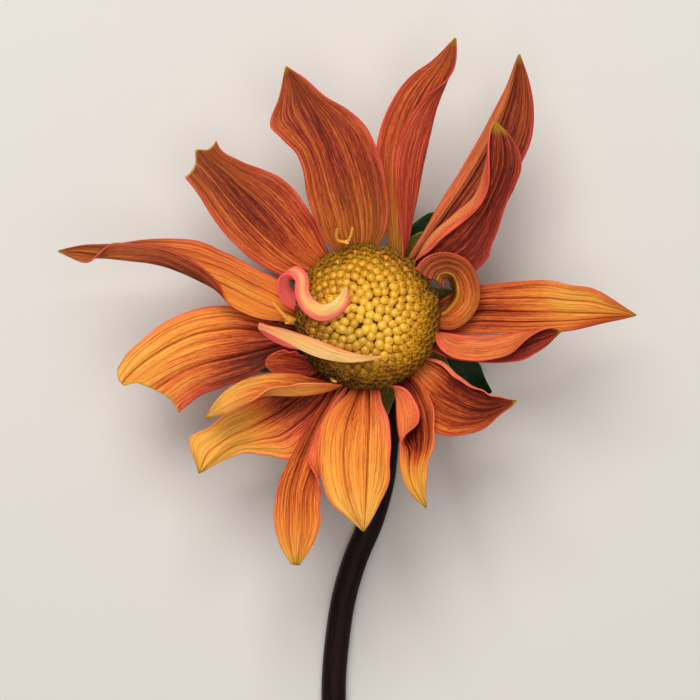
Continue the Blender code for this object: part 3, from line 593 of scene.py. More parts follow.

# %% [markdown]
# ## The petals' colouring
# A dahlia petal isn't one colour. It goes from gold to russet to a deep crimson where more red pigment
# lies, it is pink where the thin margin or the back shows, and cream where there is little pigment at
# all. So each petal has small tables for its front and its back: first how red it is, then "pink",
# "pale", the yellow-green "lime" and last a muted dark brown. The red and the dark brown are also laid
# on thick where the petal lies in shade, in hollows, in folds and under the petal above, so part of
# them is painted shade. A table's rows run from root to tip and its columns from the left margin to the
# right one. "ribs" are raised (or sunk) lines: where each lies across the blade, its height in
# millimetres and how light it is (below zero, how dark); that light is a painted highlight along a raised
# rib and the dark is painted shade along a sunk one. "tip" is the share of the length that the yellow
# point takes, and "crest" is where a thin yellow-green line runs along a folded edge.

# %% Colouring table
TONES = {
    "petal_01_top_broad": dict(
        ribs=((-0.36, 0.40, 0.3), (0.31, 0.40, 0.25)), tip=0.03,
        front=dict(
            flush=((.62, .66, .60, .62, .74), (.56, .68, .68, .66, .80), (.52, .68, .78, .70, .80),
                   (.48, .66, .80, .70, .70), (.52, .64, .76, .68, .58), (.55, .60, .62, .60, .45)),
            pink=((.05, .05, .05, .05, .15),),
            lime=(.20, .10, 0, 0, 0),
            dusk=(.10, .08, .10, .20, .50),
        ),
        back=dict(flush=(.60,), pink=(.15,)),
    ),
    "petal_02_top_folded": dict(
        ribs=((-0.45, 0.35, 0.35), (-0.12, 0.20, 0.3)), tip=0.04,
        front=dict(
            flush=((.82, .84, .82), (.64, .72, .70), (.60, .72, .70), (.56, .66, .68), (.50, .55, .55)),
            pink=((.15, .05, .05),),
            lime=(.40, .25, .05, 0, 0),
            dusk=(.05, .05, .08, .15, .25),
        ),
        back=dict(flush=(.76, .72, .68, .64, .55), pink=(.22,), dusk=(.06,)),
    ),
    "petal_03_back_spear": dict(
        ribs=((0.0, 0.25, 0.3),), tip=0.04,
        front=dict(
            flush=((.55, .55, .55, .55, .85, .85, .80, .80, .80),
                   (.44, .44, .44, .50, .88, .86, .82, .80, .78),
                   (.42, .40, .40, .48, .88, .84, .80, .78, .76),
                   (.38, .34, .34, .42, .80, .76, .74, .72, .70)),
            pink=((.35, .38, .38, .30, 0, 0, 0, 0, .10),),
            pale=((.08, .12, .12, .05, 0, 0, 0, 0, 0),),
            dusk=((0, 0, 0, 0, .15, .22, .28, .28, .28),),
        ),
        back=dict(flush=(.60,), pink=(.10,), dusk=(.20,)),
    ),
    "petal_04_hooded": dict(
        ribs=((0.45, -0.20, -0.3),), tip=0.07,
        front=dict(
            flush=((.80, .90, 1.0), (.74, .88, 1.0), (.78, .90, .88), (.80, .92, .88), (.70, .82, .78)),
            pink=((.05, .05, .08),),
            dusk=(.05, .08, .12),
        ),
        back=dict(
            flush=((.50, .45, .55, .6, .6), (.52, .34, .5, .6, .6), (.55, .30, .55, .7, .7),
                   (.60, .45, .6, .7, .7), (.60, .6, .6, .7, .7)),
            pink=((.60, .40, .30, .2, .1),),
            pale=((.05, .15, .05, 0, 0), (0, .20, .05, 0, 0), (0,)),
        ),
    ),
    "petal_05_ram_horn": dict(
        ribs=((0.15, -0.10, -0.5), (-0.25, -0.08, -0.4), (0.5, -0.08, -0.4)), tip=0.0, crest=-0.5,
        front=dict(
            flush=((.90, .80, .66, .62, .62, .62, .62, .62, .60),
                   (1.0, .96, .66, .56, .52, .56, .54, .58, .60),
                   (1.0, 1.0, .66, .38, .32, .26, .34, .30, .44),
                   (1.0, 1.0, .66, .52, .54, .48, .56, .52, .60),
                   (1.0, .92, .80, .80, .80, .76, .80, .78, .80),
                   (.75, .75, .76, .74, .76, .72, .76, .74, .76)),
            pink=((0, 0, 0, .05, .10, .05, .10, .10, .35),),
            lime=(.08,),
            dusk=((.20, .10, 0, 0, 0, 0, 0, 0, 0),),
        ),
        back=dict(flush=(.90,), pink=(.10,), dusk=(.10,)),
    ),
    "petal_06_right_long": dict(
        ribs=((0.0, -0.35, -0.9), (-0.45, -0.14, -0.6), (0.45, -0.14, -0.6)), tip=0.03,
        front=dict(
            flush=((.80, .80, .78, .74, .70), (.68, .70, .70, .64, .58), (.54, .54, .66, .60, .50),
                   (.46, .36, .42, .42, .44), (.28, .12, .10, .30, .46), (.36, .16, .20, .48, .62),
                   (.26, .18, .28, .4, .4)),
        ),
        back=dict(flush=(.50,), pink=(.20,)),
    ),
    "petal_07_right_folded": dict(
        ribs=((0.45, -0.12, -0.5),), tip=0.03,
        front=dict(flush=(.95, 1.0, 1.0, 1.0, .95, .80), pink=((.05, .05, .05, .10, .30),), dusk=(.02,)),
        back=dict(
            flush=((.50,), (.44, .40, .5, .6, .6), (.38, .34, .5, .6, .6), (.40, .38, .5, .6, .6),
                   (.44,)),
            pink=((.6,), (.30, .34, .60, .7, .7), (.22, .28, .60, .8, .8), (.20, .26, .6, .8, .8),
                  (.30,)),
            pale=(.03, .06, .05, .04),
        ),
    ),
    "petal_08_lower_right": dict(
        ribs=((0.35, -0.20, -0.5), (0.0, -0.10, -0.4)), tip=0.025,
        front=dict(
            flush=((.60, .50, .42, .38), (.80, .44, .34, .30), (1.0, .84, .54, .38), (1.0, .90, .66, .48),
                   (.95, .88, .76, .64), (.60,)),
            dusk=((0, .05, .05, 0), (0, .10, .10, 0), (0, .2, .20, .15)),
        ),
        back=dict(flush=(.35,), pink=(.95,), pale=(.22,)),
    ),
    "petal_09_right_scoop": dict(
        ribs=((-0.5, -0.20, -0.5), (0.45, -0.15, -0.5)), tip=0.05,
        front=dict(
            flush=((.60,), (.50, .95, 1.0, 1.0, .95), (.38, .60, 1.0, 1.0, 1.0),
                   (.34, .60, 1.0, 1.0, .80), (.26, .50, .95, .85, .50), (.10, .10, .34, .28, .14),
                   (.02, .02, .06, .04, .04), (0,)),
        ),
        back=dict(flush=(.44, .34, .28, .30), pink=(.40, .34, .30), pale=(.06,)),
    ),
    "petal_10_bottom_broad": dict(
        ribs=((-0.33, -0.34, -0.9), (0.33, -0.34, -0.9)), tip=0.02,
        front=dict(
            flush=((.66,), (.34, .44, .44, .42, .34), (.20, .24, .26, .22, .22),
                   (.12, .16, .20, .14, .16), (.06, .06, .08, .04, .10), (0,)),
            pink=((.30, .05, 0, 0, 0), (.60, .10, 0, 0, .10), (.20, 0, 0, 0, .08), (0,), (0,)),
            pale=((0,), (.12, 0, 0, 0, 0), (0,), (0,), (.20,)),
        ),
        back=dict(flush=(.25,), pink=(.50,), pale=(.20,)),
    ),
    "petal_11_left_scoop": dict(
        ribs=((0.35, -0.16, -0.6), (-0.25, -0.16, -0.6)), tip=0.05,
        front=dict(
            flush=((.66,), (.64, .70, .66), (.56, .66, .60), (.56, .56, .54), (.44, .42, .46),
                   (.30, .28, .32), (.10,)),
        ),
        back=dict(flush=(.46, .38, .34, .34), pink=(.34, .34, .30), pale=(.04,)),
    ),
    "petal_12_lower_left": dict(
        ribs=((0.2, -0.20, -0.8), (-0.35, -0.20, -0.8)), tip=0.025,
        front=dict(
            flush=((.86,), (.68, .78, .96), (.38, .72, .84), (.08, .20, .18), (0, .04, .06), (0,)),
            pink=((.10, 0, 0), (.30, 0, 0), (.10, 0, 0), (0,)),
            dusk=((.05, .1, .2), (.05, .15, .25), (0,), (0,)),
        ),
        back=dict(flush=(.40,), pink=(.40,)),
    ),
    "petal_13_boat": dict(
        ribs=(), tip=0.03,
        front=dict(
            flush=((.70,), (.58, .72, .50), (.36, .50, .22), (.14, .22, .06), (.02,)),
            pink=((.15, 0, .05), (.10, 0, 0), (0,)),
            pale=(0, .02, .06, .12),
        ),
        back=dict(flush=(.20, .10, 0), pink=(.30, .12, .04), pale=(.05, .10, .15)),
    ),
    "petal_14_small_cup": dict(
        ribs=(), tip=0.0,
        front=dict(flush=(.84, .76, .60), pink=(.12,)),
        back=dict(flush=(.36,), pink=(.85,), pale=(.05,)),
    ),
    "petal_15_left_broad": dict(
        ribs=((0.42, -0.45, -0.9), (-0.3, -0.45, -0.9)), tip=0.012,
        front=dict(
            flush=((.96, .94, .90, .84, .76), (1.0, .96, .88, .76, .66), (1.0, .92, .66, .40, .42),
                   (1.0, .52, .30, .20, .32), (.66, .30, .24, .14, .24), (.40, .24, .18, .08, .08)),
            dusk=((.2, .2, .15, .10, 0), (.3, .2, .10, .05, 0), (.4, .15, .05, 0, 0), (.3, .05, 0, 0, 0),
                  (0,)),
            pink=((0,), (0,), (0,), (.10, 0, 0, 0, .05), (.30, .10, 0, 0, .05), (.30, .10, 0, 0, 0)),
        ),
        back=dict(flush=(.35,), pink=(.30,)),
    ),
    "petal_16_left_twisted": dict(
        ribs=((0.3, -0.16, -0.7), (-0.3, -0.12, -0.6)), tip=0.03,
        front=dict(
            flush=((.40,), (.30, .24, .30), (.28, .24, .36), (.34, .34, .44), (.36, .36, .40), (.48,),
                   (.50,), (.45,)),
            pink=((0, 0, .15),),
            dusk=(0, 0, 0, 0, .15, .40, .45, .30),
        ),
        back=dict(
            flush=(.66, .68, .72, .80, .74, .60, .50, .40),
            dusk=(.10, .10, .12, .20, .32, .40, .40, .3),
        ),
    ),
    "petal_17_upper_left": dict(
        ribs=((-0.32, 0.38, 0.28), (0.28, 0.38, 0.28)), tip=0.006,
        front=dict(
            flush=((.50,), (.48, .58, .62, .56, .54), (.50, .64, .76, .64, .60),
                   (.50, .66, .84, .68, .62), (.50, .62, .74, .62, .62), (.50, .56, .58, .56, .52)),
            pink=((.12, .03, 0, .03, .12),),
            dusk=(0, .05, .10, .20, .30, .50),
        ),
        back=dict(flush=(.55,), pink=(.15,)),
    ),
    "petal_18_inner_hook": dict(
        ribs=(), tip=0.02,
        front=dict(flush=(.36,), pink=(.80, .90, .90), pale=((0,), (0, .20, 0), (0, .30, 0))),
        back=dict(
            flush=(.40, .40, .30, .20, .12, .06),
            pink=((.6,), (.7,), (1, .90, .55, .85, 1), (1, .95, .35, .75, 1), (1, .90, .16, .02, .30),
                  (1, .70, .10, 0, .10)),
            pale=((0,), (0,), (0, .12, .40, .15, 0), (0, .12, .66, .25, 0), (0, .18, .80, .92, .66),
                  (.05, .30, .88, .94, .90)),
        ),
    ),
    "petal_19_inner_strap": dict(
        ribs=((0.1, -0.05, -0.3),), tip=0.0,
        front=dict(flush=(.40,), pink=(.80,), pale=(.05,)),
        back=dict(
            flush=(.34, .30, .22, .14),
            pink=((.60,), (.60,), (.50, .35, .50), (.10, .05, .20, .30, .55), (0, 0, .10, .40, .80),
                  (0, 0, .05, .10, .3)),
            pale=((0,), (0,), (.40,), (.80, .84, .78, .60, .35), (.92, .94, .86, .70, .30),
                  (.92, .92, .90, .85, .6)),
        ),
    ),
}
print("tones are listed for", len(TONES), "petals")

# %% [markdown]
# ## Petal skin
# Up close a petal is a bundle of fine lines: veins that run from root to tip and meet at the point, with
# streaks of stronger and weaker pigment between them. Noise that is stretched along the blade gives the
# streaks. Where a smooth noise passes through its middle value it draws a thin wandering line, and that
# makes the veins. All of it is laid out on the blade's own coordinates, so that the lines follow every
# fold.

# %% Petal material
FLUSH_STOPS = (
    (0.0, (1.00, 0.49, 0.075)), (0.2, (0.95, 0.32, 0.046)), (0.4, (0.80, 0.180, 0.030)),
    (0.6, (0.52, 0.075, 0.016)), (0.8, (0.26, 0.022, 0.008)), (1.0, (0.075, 0.004, 0.002)),
)
PINK = (0.94, 0.095, 0.075)
CREAM = (1.00, 0.62, 0.22)
LIME = (0.66, 0.40, 0.030)
DUSK_AND_SHADE = (0.160, 0.062, 0.024)
GLOW = (0.86, 0.36, 0.075)


def petal_finish(name, shine=0.0, blush=PINK):
    """Petal skin; shine is a painted glow, emitted to stand in for the light that comes through a thin pale
    petal, blush its pink.
    """
    skin = Finish(name, 0.5, Specular_IOR_Level=0.2, Emission_Strength=shine)
    across, along, number = skin.split(skin.attribute("blade"))
    flush, pink, pale = skin.split(skin.attribute("tone"))
    lime, dusk, _ = skin.split(skin.attribute("mark"))
    rib, glow, crest = skin.split(skin.attribute("line"))
    band = skin.noise(skin.join(across * 4.2, along * 0.8, number * 3.7), 1.5, 2.0, 0.5)
    streak = skin.noise(skin.join(across * 16.0, along * 1.5, number * 5.1), 1.6, 3.0, 0.65)
    net = skin.noise(skin.join(across * 6.4, along * 0.9, number * 1.9), 1.6, 1.0, 0.5)
    lace = skin.noise(skin.join(across * 9.0, along * 3.2, number * 4.3), 1.7, 3.0, 0.6)
    grain = skin.noise(skin.join(across * 30.0, along * 22.0, number * 2.3), 1.5, 3.0, 0.6)
    vein = 1.0 - skin.step(abs(net - 0.5), 0.004, 0.026)
    thread = 1.0 - skin.step(abs(lace - 0.5), 0.0, 0.05)
    line = 1.0 - skin.step(rib, 0.006, 0.036)
    change = (streak - 0.5) * 1.5 + (band - 0.5) * 0.6 + (grain - 0.5) * 0.7
    change = change + vein * 0.16 + thread * 0.12 - 0.04
    # Painted shade: near its root, where it meets the disc, every petal is made redder and darker.
    root = 1.0 - skin.step(along, 0.0, 0.17)
    # Painted highlight and shade along the ribs: raised ones lighter, sunk ones darker.
    change = change - line * glow * 0.45 + root * 0.22
    # The red value carries both pigment and painted shade: it is deep where the petal is redder and where
    # its table paints the shade of a hollow, a fold or an overlapping petal.
    red = flush + change * (flush * 0.6 + 0.5)
    body = skin.node("ShaderNodeValToRGB", {"stops": FLUSH_STOPS}, {0: skin.clamp(red)})
    # Painted shade: a muted dark brown laid into hollows and under folds, partly also the petal's own dull
    # tone.
    body = skin.mix(skin.clamp(dusk * (1.3 - streak * 0.6)), body, DUSK_AND_SHADE)
    # Painted highlight: raised ribs are mixed towards gold along their crest.
    body = skin.mix(skin.clamp(line * glow * 0.8), body, GLOW)
    margin = skin.step(abs(across), 0.87, 1.0)
    rosy = pink * (1.0 + (streak - 0.5) * 2.6) + margin * (0.36 + pink * 0.5) * (1.0 - pale)
    body = skin.mix(skin.clamp(rosy), body, blush)
    body = skin.mix(skin.clamp(pale * (1.0 + (streak - 0.5) * 0.9)), body, CREAM)
    edge = 1.0 - skin.step(crest, 0.02, 0.07)
    body = skin.mix(skin.clamp(lime * (1.0 + (streak - 0.5) * 1.2) + edge * 0.6), body, LIME)
    skin.colour(body)
    # Painted glow: the petal emits its own colour, standing in for light that shines through it.
    if shine:
        skin.plug(skin.shader.inputs["Emission Color"], body)
    skin.rough(0.48 + (streak - 0.5) * 0.3)
    skin.relief(streak * 0.6 + band * 0.6 - vein * 0.3 - line * 0.5 + grain * 0.15, 0.36)
    return skin.material


print("a petal's colour runs through", len(FLUSH_STOPS), "stops from gold to crimson")

# %% Petals
petal_skins = {
    "petal_russet": petal_finish("petal_russet"), "petal_amber": petal_finish("petal_amber"),
    "petal_blush": petal_finish("petal_blush", shine=0.28, blush=(1.0, 0.11, 0.13)),
}
RUSSET = (1, 2, 3, 4, 5, 17)
BLUSH = (18, 19)
NARROW = (5, 18, 19)  # these get more rows and fewer columns


def slot_of(number):
    if number in RUSSET:
        return "petal_russet"
    return "petal_blush" if number in BLUSH else "petal_amber"


for petal, spec in PETALS.items():
    shape = {**PETAL_DEFAULTS, **spec, **TONES[petal]}
    number = int(petal.split("_")[1])
    slot = slot_of(number)
    rows, columns = (150, 32) if number in NARROW else (110, 60)
    made = blade_piece("skin_of_" + petal, shape, petal_skins[slot], number, rows, columns)
    dress(made, petal)
print(len(PETALS), "petals have their skin")

# %% [markdown]
# ## The disc of florets
# The golden middle is hundreds of closed florets. A plant sets each new one at the golden angle from the
# last, which packs them into two sets of crossing spirals. That rule is all the tree below holds: it
# takes a count, turns each point's number into an angle and a height on the dome, and stands a bud there.
# A second run of the same tree cups each bud from outside with a scale. Nothing is drawn by hand, and
# another count or dome size gives another flower.

# %% One bud and one scale
BUD_SIDES = 8
BUD_RINGS = 5
BUD_FULLNESS = 0.7  # below 1, a bud is fuller than a ball
BUD_TOP = 0.48
SCALE_SPAN = 1.25  # radians that a scale reaches round its bud to each side


def bud_object():
    """A plump bud, one unit wide and standing on z = 0, with a blunt top."""
    points = [(0.0, 0.0, -0.5)]
    for ring in range(1, BUD_RINGS):
        polar = math.pi * (1 - ring / BUD_RINGS)
        for k in range(BUD_SIDES):
            a = 2 * math.pi * k / BUD_SIDES
            radius = 0.5 * math.sin(polar) ** BUD_FULLNESS
            points.append((radius * math.cos(a), radius * math.sin(a), 0.5 * math.cos(polar)))
    points.append((0.0, 0.0, BUD_TOP))
    faces = []
    for k in range(BUD_SIDES):
        after = (k + 1) % BUD_SIDES
        faces.append((0, 1 + after, 1 + k))
        for ring in range(BUD_RINGS - 2):
            a, b = 1 + ring * BUD_SIDES + k, 1 + ring * BUD_SIDES + after
            faces.append((a, b, b + BUD_SIDES, a + BUD_SIDES))
        last = 1 + (BUD_RINGS - 2) * BUD_SIDES
        faces.append((last + k, last + after, len(points) - 1))
    return source_object("one_bud", points, faces)


def scale_object():
    """A thick scale, cupped like a fingernail: its hollow side faces -x, its tip stands over the bud."""
    u, v = np.meshgrid(np.linspace(0, 1, 6), np.linspace(-1, 1, 7), indexing="ij")
    wide = 0.60 * np.clip(1 - (0.96 * u) ** 3.0, 0, 1) ** 0.5
    reach = 0.62 - 0.09 * u**2
    round_bud = wide * np.sin(v * SCALE_SPAN) / np.sin(SCALE_SPAN)
    outer = np.stack([reach * np.cos(v * SCALE_SPAN), round_bud, 1.16 * u - 0.5], -1)
    inner = outer * [0.66, 0.74, 1.0] - [0.03, 0.0, 0.06]
    return source_object("one_scale", *closed_blade(outer, inner))


def source_object(name, points, faces):
    mesh = bpy.data.meshes.new(name)
    corners = [tuple(int(i) for i in face) for face in faces]
    mesh.from_pydata([tuple(float(c) for c in p) for p in points], [], corners)
    mesh.update()
    work = bmesh.new()
    work.from_mesh(mesh)
    bmesh.ops.recalc_face_normals(work, faces=work.faces)
    work.to_mesh(mesh)
    work.free()
    mesh.shade_smooth()
    tall = mesh.attributes.new("tall", "FLOAT", "POINT")
    tall.data.foreach_set("value", [p[2] + 0.5 for p in points])
    return new_object(name, mesh)


one_bud = bud_object()
one_scale = scale_object()
print("a bud has", len(one_bud.data.polygons), "faces and a scale", len(one_scale.data.polygons))

# %% Sizes of the disc
FLORETS = 345
DISC_RADIUS = 13.2
DISC_HEIGHT = 9.6
DISC_RIM_Z = 0.6  # where the dome is widest
DISC_UNDERSIDE_Z = -0.75
DISC_UNDERSIDE_RADIUS = 9.8
BED_DEPTH = 0.35  # the bed lies this far under the dome on which the florets stand
GOLDEN_ANGLE = math.radians(137.508)
PACKING = 1.03  # above 1, the florets in the middle stand closer
DOME_SHARE = 0.97  # how far down the dome the spiral runs
JITTER = 0.3  # millimetres across which florets stray from the spiral
DISC_LEAN = (-0.5, -1.4)  # the dome's top stands this far off its middle
print("the disc is", 2 * DISC_RADIUS, "mm across and has", FLORETS, "florets")

# %% Tools for trees
def new_tree(name, inputs):
    """An empty Geometry Nodes tree with named inputs, and its board with a wire for each input."""
    tree = bpy.data.node_groups.new(name, "GeometryNodeTree")
    tree.interface.new_socket("Geometry", in_out="INPUT", socket_type="NodeSocketGeometry")
    for title, kind in inputs:
        tree.interface.new_socket(title, in_out="INPUT", socket_type="NodeSocket" + kind)
    tree.interface.new_socket("Geometry", in_out="OUTPUT", socket_type="NodeSocketGeometry")
    board = Board(tree)
    start = tree.nodes.new("NodeGroupInput")
    wires = [Wire(board, socket) for socket in start.outputs[:-1]]
    return tree, board, wires


def close_tree(board, geometry, material):
    """End a tree as every tree here ends: instances made real, material set."""
    real = board.node("GeometryNodeRealizeInstances", {}, {0: geometry})
    painted = board.node("GeometryNodeSetMaterial", {}, {"Geometry": real, "Material": material})
    end = board.tree.nodes.new("NodeGroupOutput")
    board.plug(end.inputs[0], painted)


def grow(name, tree, values):
    """Run a tree on an empty mesh and keep the result as a plain mesh object."""
    obj = new_object(name, bpy.data.meshes.new(name))
    modifier = obj.modifiers.new("grow", "NODES")
    modifier.node_group = tree
    for item in tree.interface.items_tree:
        if item.in_out == "INPUT" and item.name in values:
            modifier[item.identifier] = values[item.name]
    depsgraph = bpy.context.evaluated_depsgraph_get()
    grown = bpy.data.meshes.new_from_object(obj.evaluated_get(depsgraph))
    obj.modifiers.clear()
    obj.data = grown
    grown.name = name
    grown.shade_smooth()
    return obj


def store_on(board, geometry, name, value, domain="POINT", kind="FLOAT"):
    settings = {"data_type": kind, "domain": domain}
    inputs = {"Geometry": geometry, "Name": name, "Value": value}
    return board.node("GeometryNodeStoreNamedAttribute", settings, inputs)


def object_geometry(board, source):
    settings = {"transform_space": "ORIGINAL"}
    return board.node("GeometryNodeObjectInfo", settings, {"Object": source}, output=4)


print("a tree is run on an empty mesh, and its result is kept as a plain mesh")

# %% The spiral tree
def spiral_tree():
    """Stand a source object at each place of a golden-angle spiral on a leaning dome."""
    tree, board, wires = new_tree("golden_spiral", [
        ("Count", "Int"), ("Radius", "Float"), ("Height", "Float"), ("Rise", "Float"),
        ("Size", "Float"), ("Growth", "Float"), ("First Share", "Float"), ("Spin", "Float"),
        ("Shape", "Object"), ("Seed", "Int"), ("Finish", "Material"),
    ])
    _, count, radius, height, rise, size, growth, first, spin, shape, seed, finish = wires
    number = board.node("GeometryNodeInputIndex")
    share = ((number + 0.5) / count) ** PACKING
    top = 1.0 - share * DOME_SHARE
    out = board.math("SQRT", 1.0 - top * top)
    turn = number * GOLDEN_ANGLE
    x = out * board.math("COSINE", turn)
    y = out * board.math("SINE", turn)
    facing = board.join(x / radius, y / radius, top / height)
    facing = board.node("ShaderNodeVectorMath", {"operation": "NORMALIZE"}, {0: facing})
    fx, fy, fz = board.split(facing)
    luck = []
    for k in range(4):
        inputs = {"ID": number, "Seed": seed + k}
        luck.append(board.node("FunctionNodeRandomValue", {"data_type": "FLOAT"}, inputs, output=1))
    rise = rise + (luck[1] - 0.5) * JITTER
    px = x * radius + top * DISC_LEAN[0] + fx * rise + (luck[2] - 0.5) * JITTER
    py = y * radius + top * DISC_LEAN[1] + fy * rise + (luck[3] - 0.5) * JITTER
    pz = top * height + fz * rise + DISC_RIM_Z
    spot = board.join(px * MM + float(HEAD[0]), py * MM + float(HEAD[1]), pz * MM + float(HEAD[2]))
    dots = board.node("GeometryNodePoints", {}, {"Count": count, "Position": spot, "Radius": MM})
    dots = store_on(board, dots, "share", share)
    dots = store_on(board, dots, "luck", luck[0])
    lean = turn + spin * (luck[0] - 0.5)
    sideways = board.join(board.math("COSINE", lean), board.math("SINE", lean), 0.0)
    turned = board.node("FunctionNodeAxesToRotation", {"primary_axis": "Z", "secondary_axis": "X"},
                        {0: facing, 1: sideways})
    wide = size * (1.0 + growth * share) * MM
    scale = board.join(wide * (0.96 + luck[1] * 0.24), wide * (0.84 + luck[2] * 0.2),
                       wide * (0.96 + luck[3] * 0.2))
    info = object_geometry(board, shape)
    kept = board.math("GREATER_THAN", share, first)
    stood = board.node("GeometryNodeInstanceOnPoints", {}, {
        "Points": dots, "Selection": kept, "Instance": info, "Rotation": turned, "Scale": scale})
    close_tree(board, stood, finish)
    return tree


spiral = spiral_tree()
print("the spiral tree has", len(spiral.nodes), "nodes")

# %% [markdown]
# ## Colours of the disc
# In the middle the young buds are a shiny yellow-gold. Further out they are older and browner, with
# orange ones at the rim, and each sits in a muted olive-brown scale. Towards the lower left the whole disc
# is painted darker as shade, the low part of every bud and scale, down in the gaps, is painted near black
# as shade, and the bed under them is near-black for the same painted shade. The share of the way from
# the middle to the rim comes with each bud as an attribute, so one material serves them all.

# %% Disc finishes
def disc_age(skin):
    """0 for the youngest florets and 1 for the oldest, how much painted shade a spot gets towards the lower
    left, and its flecks.
    """
    share = skin.attribute("share", output="Fac")
    luck = skin.attribute("luck", output="Fac")
    fleck = skin.noise(skin.here(), 1.0, 3.0, 0.6)
    x, y, _ = skin.split(skin.here())
    # Painted shade: darker towards the lower left of the disc.
    lower_left_shade = (float(HEAD[0]) / MM - x) * 0.044 + (float(HEAD[1]) / MM - y) * 0.048
    age = skin.clamp(share + (luck - 0.5) * 0.3 + (fleck - 0.5) * 0.35)
    return age, skin.clamp(lower_left_shade + (luck - 0.5) * 0.3), fleck


def bud_finish():
    skin = Finish("disc_gold", 0.36, Specular_IOR_Level=0.35, Coat_Weight=0.35, Coat_Roughness=0.14)
    age, lower_left_shade, fleck = disc_age(skin)
    tall = skin.attribute("tall", output="Fac")
    fine = skin.noise(skin.here(), 3.0, 2.0, 0.6)
    body = skin.node("ShaderNodeValToRGB", {"stops": (
        (0.0, (0.95, 0.55, 0.045)), (0.35, (0.76, 0.36, 0.014)), (0.65, (0.58, 0.215, 0.007)),
        (0.85, (0.76, 0.26, 0.018)), (1.0, (0.80, 0.27, 0.024)),
    )}, {0: age})
    body = skin.mix(skin.clamp((fine - 0.50) * 1.6), body, (0.97, 0.60, 0.07))
    body = skin.mix(skin.clamp((0.46 - fleck) * 2.0), body, (0.40, 0.15, 0.006))
    # Painted shade towards the lower left.
    body = skin.mix(lower_left_shade * 0.85, body, (0.13, 0.034, 0.002))
    # Painted shade: the low part of each bud, down in the gaps, darkens to near black.
    skin.colour(skin.mix(skin.step(tall, 0.86, 0.42), body, (0.055, 0.014, 0.001)))
    skin.rough(0.32 + age * 0.16 + (fine - 0.5) * 0.2)
    skin.relief(fine * 0.6 + fleck * 0.4, 0.12)
    return skin.material


def scale_finish():
    skin = Finish("scale_olive", 0.42, Specular_IOR_Level=0.25, Coat_Weight=0.05, Coat_Roughness=0.25)
    age, lower_left_shade, fleck = disc_age(skin)
    tall = skin.attribute("tall", output="Fac")
    body = skin.node("ShaderNodeValToRGB", {"stops": (
        (0.0, (0.78, 0.38, 0.012)), (0.35, (0.47, 0.235, 0.006)), (0.7, (0.28, 0.128, 0.003)),
        (1.0, (0.19, 0.085, 0.003)),
    )}, {0: age})
    # Painted shade towards the lower left.
    body = skin.mix(lower_left_shade * 0.85, body, (0.05, 0.018, 0.001))
    # Painted shade: the low part of each scale darkens towards near black.
    skin.colour(skin.mix(skin.step(tall, 0.95, 0.35) * 0.9, body, (0.06, 0.026, 0.002)))
    skin.rough(0.36 + (fleck - 0.5) * 0.2)
    skin.relief(fleck, 0.08)
    return skin.material


def bed_finish():
    skin = Finish("disc_bed", 0.7, Specular_IOR_Level=0.1)
    fleck = skin.noise(skin.here(), 1.2, 4.0, 0.6)
    # Painted shade: the bed is a near-black brown so that the gaps between the buds look shaded.
    skin.colour(skin.mix(fleck, (0.030, 0.009, 0.001), (0.08, 0.028, 0.002)))
    skin.relief(fleck, 0.2)
    return skin.material


print("the disc has a finish for buds, one for scales and one for the bed")

# %% The bed under the buds
def ring_faces(rings, sides):
    """Faces that join a stack of equal rings of points and close both ends."""
    faces = [tuple(range(sides))]
    for i in range(rings - 1):
        for k in range(sides):
            a, b = i * sides + k, i * sides + (k + 1) % sides
            faces.append((a, a + sides, b + sides, b))
    faces.append(tuple((rings - 1) * sides + k for k in reversed(range(sides))))
    return faces


def dome_bed():
    """The solid body of the disc under the buds, closed below."""
    sides, rings = 72, 18
    points = []
    for ring in range(rings + 1):
        a = (ring + 0.02) / rings * math.pi / 2
        for k in range(sides):
            b = 2 * math.pi * k / sides
            share = math.cos(a)
            points.append((math.sin(a) * math.cos(b) * (DISC_RADIUS - BED_DEPTH) + DISC_LEAN[0] * share,
                           math.sin(a) * math.sin(b) * (DISC_RADIUS - BED_DEPTH) + DISC_LEAN[1] * share,
                           share * (DISC_HEIGHT - BED_DEPTH) + DISC_RIM_Z))
    for k in range(sides):
        b = 2 * math.pi * k / sides
        x, y = DISC_UNDERSIDE_RADIUS * math.cos(b), DISC_UNDERSIDE_RADIUS * math.sin(b)
        points.append((x, y, DISC_UNDERSIDE_Z))
    return points, ring_faces(rings + 2, sides)


print("the bed has", len(dome_bed()[1]), "faces")

# %% The disc
spiral_values = {"Count": FLORETS, "Radius": DISC_RADIUS, "Height": DISC_HEIGHT, "Seed": 7}
buds = grow("buds_of_the_disc", spiral, {
    **spiral_values, "Rise": -0.36, "Size": 2.24, "Growth": -0.23, "First Share": -1.0, "Spin": 2.0,
    "Shape": one_bud, "Finish": bud_finish()})
scales = grow("scales_of_the_disc", spiral, {
    **spiral_values, "Rise": -0.48, "Size": 1.74, "Growth": 0.58, "First Share": 0.04, "Spin": 0.2,
    "Shape": one_scale, "Finish": scale_finish()})
bed = mesh_piece("bed_of_the_disc", *dome_bed(), bed_finish())
for made in (buds, scales, bed):
    dress(made, "disc_of_florets")
for source in (one_bud, one_scale):
    bpy.data.objects.remove(source)
print("the disc has", len(buds.data.polygons) + len(scales.data.polygons), "faces of buds and scales")

# %% [markdown]
# ## Bracts, receptacle and stem
# Behind the petals a dahlia has two rings of bracts: thin olive scales close under the flower, and five
# fleshy green ones that bend back. They are blades like the petals, and the green ones have three raised
# veins. The receptacle, which carries everything, is one profile turned about the head's axis. The stem
# is smooth and dark with fine lengthwise ridges, and its cut end is a plain cap of the same colour.

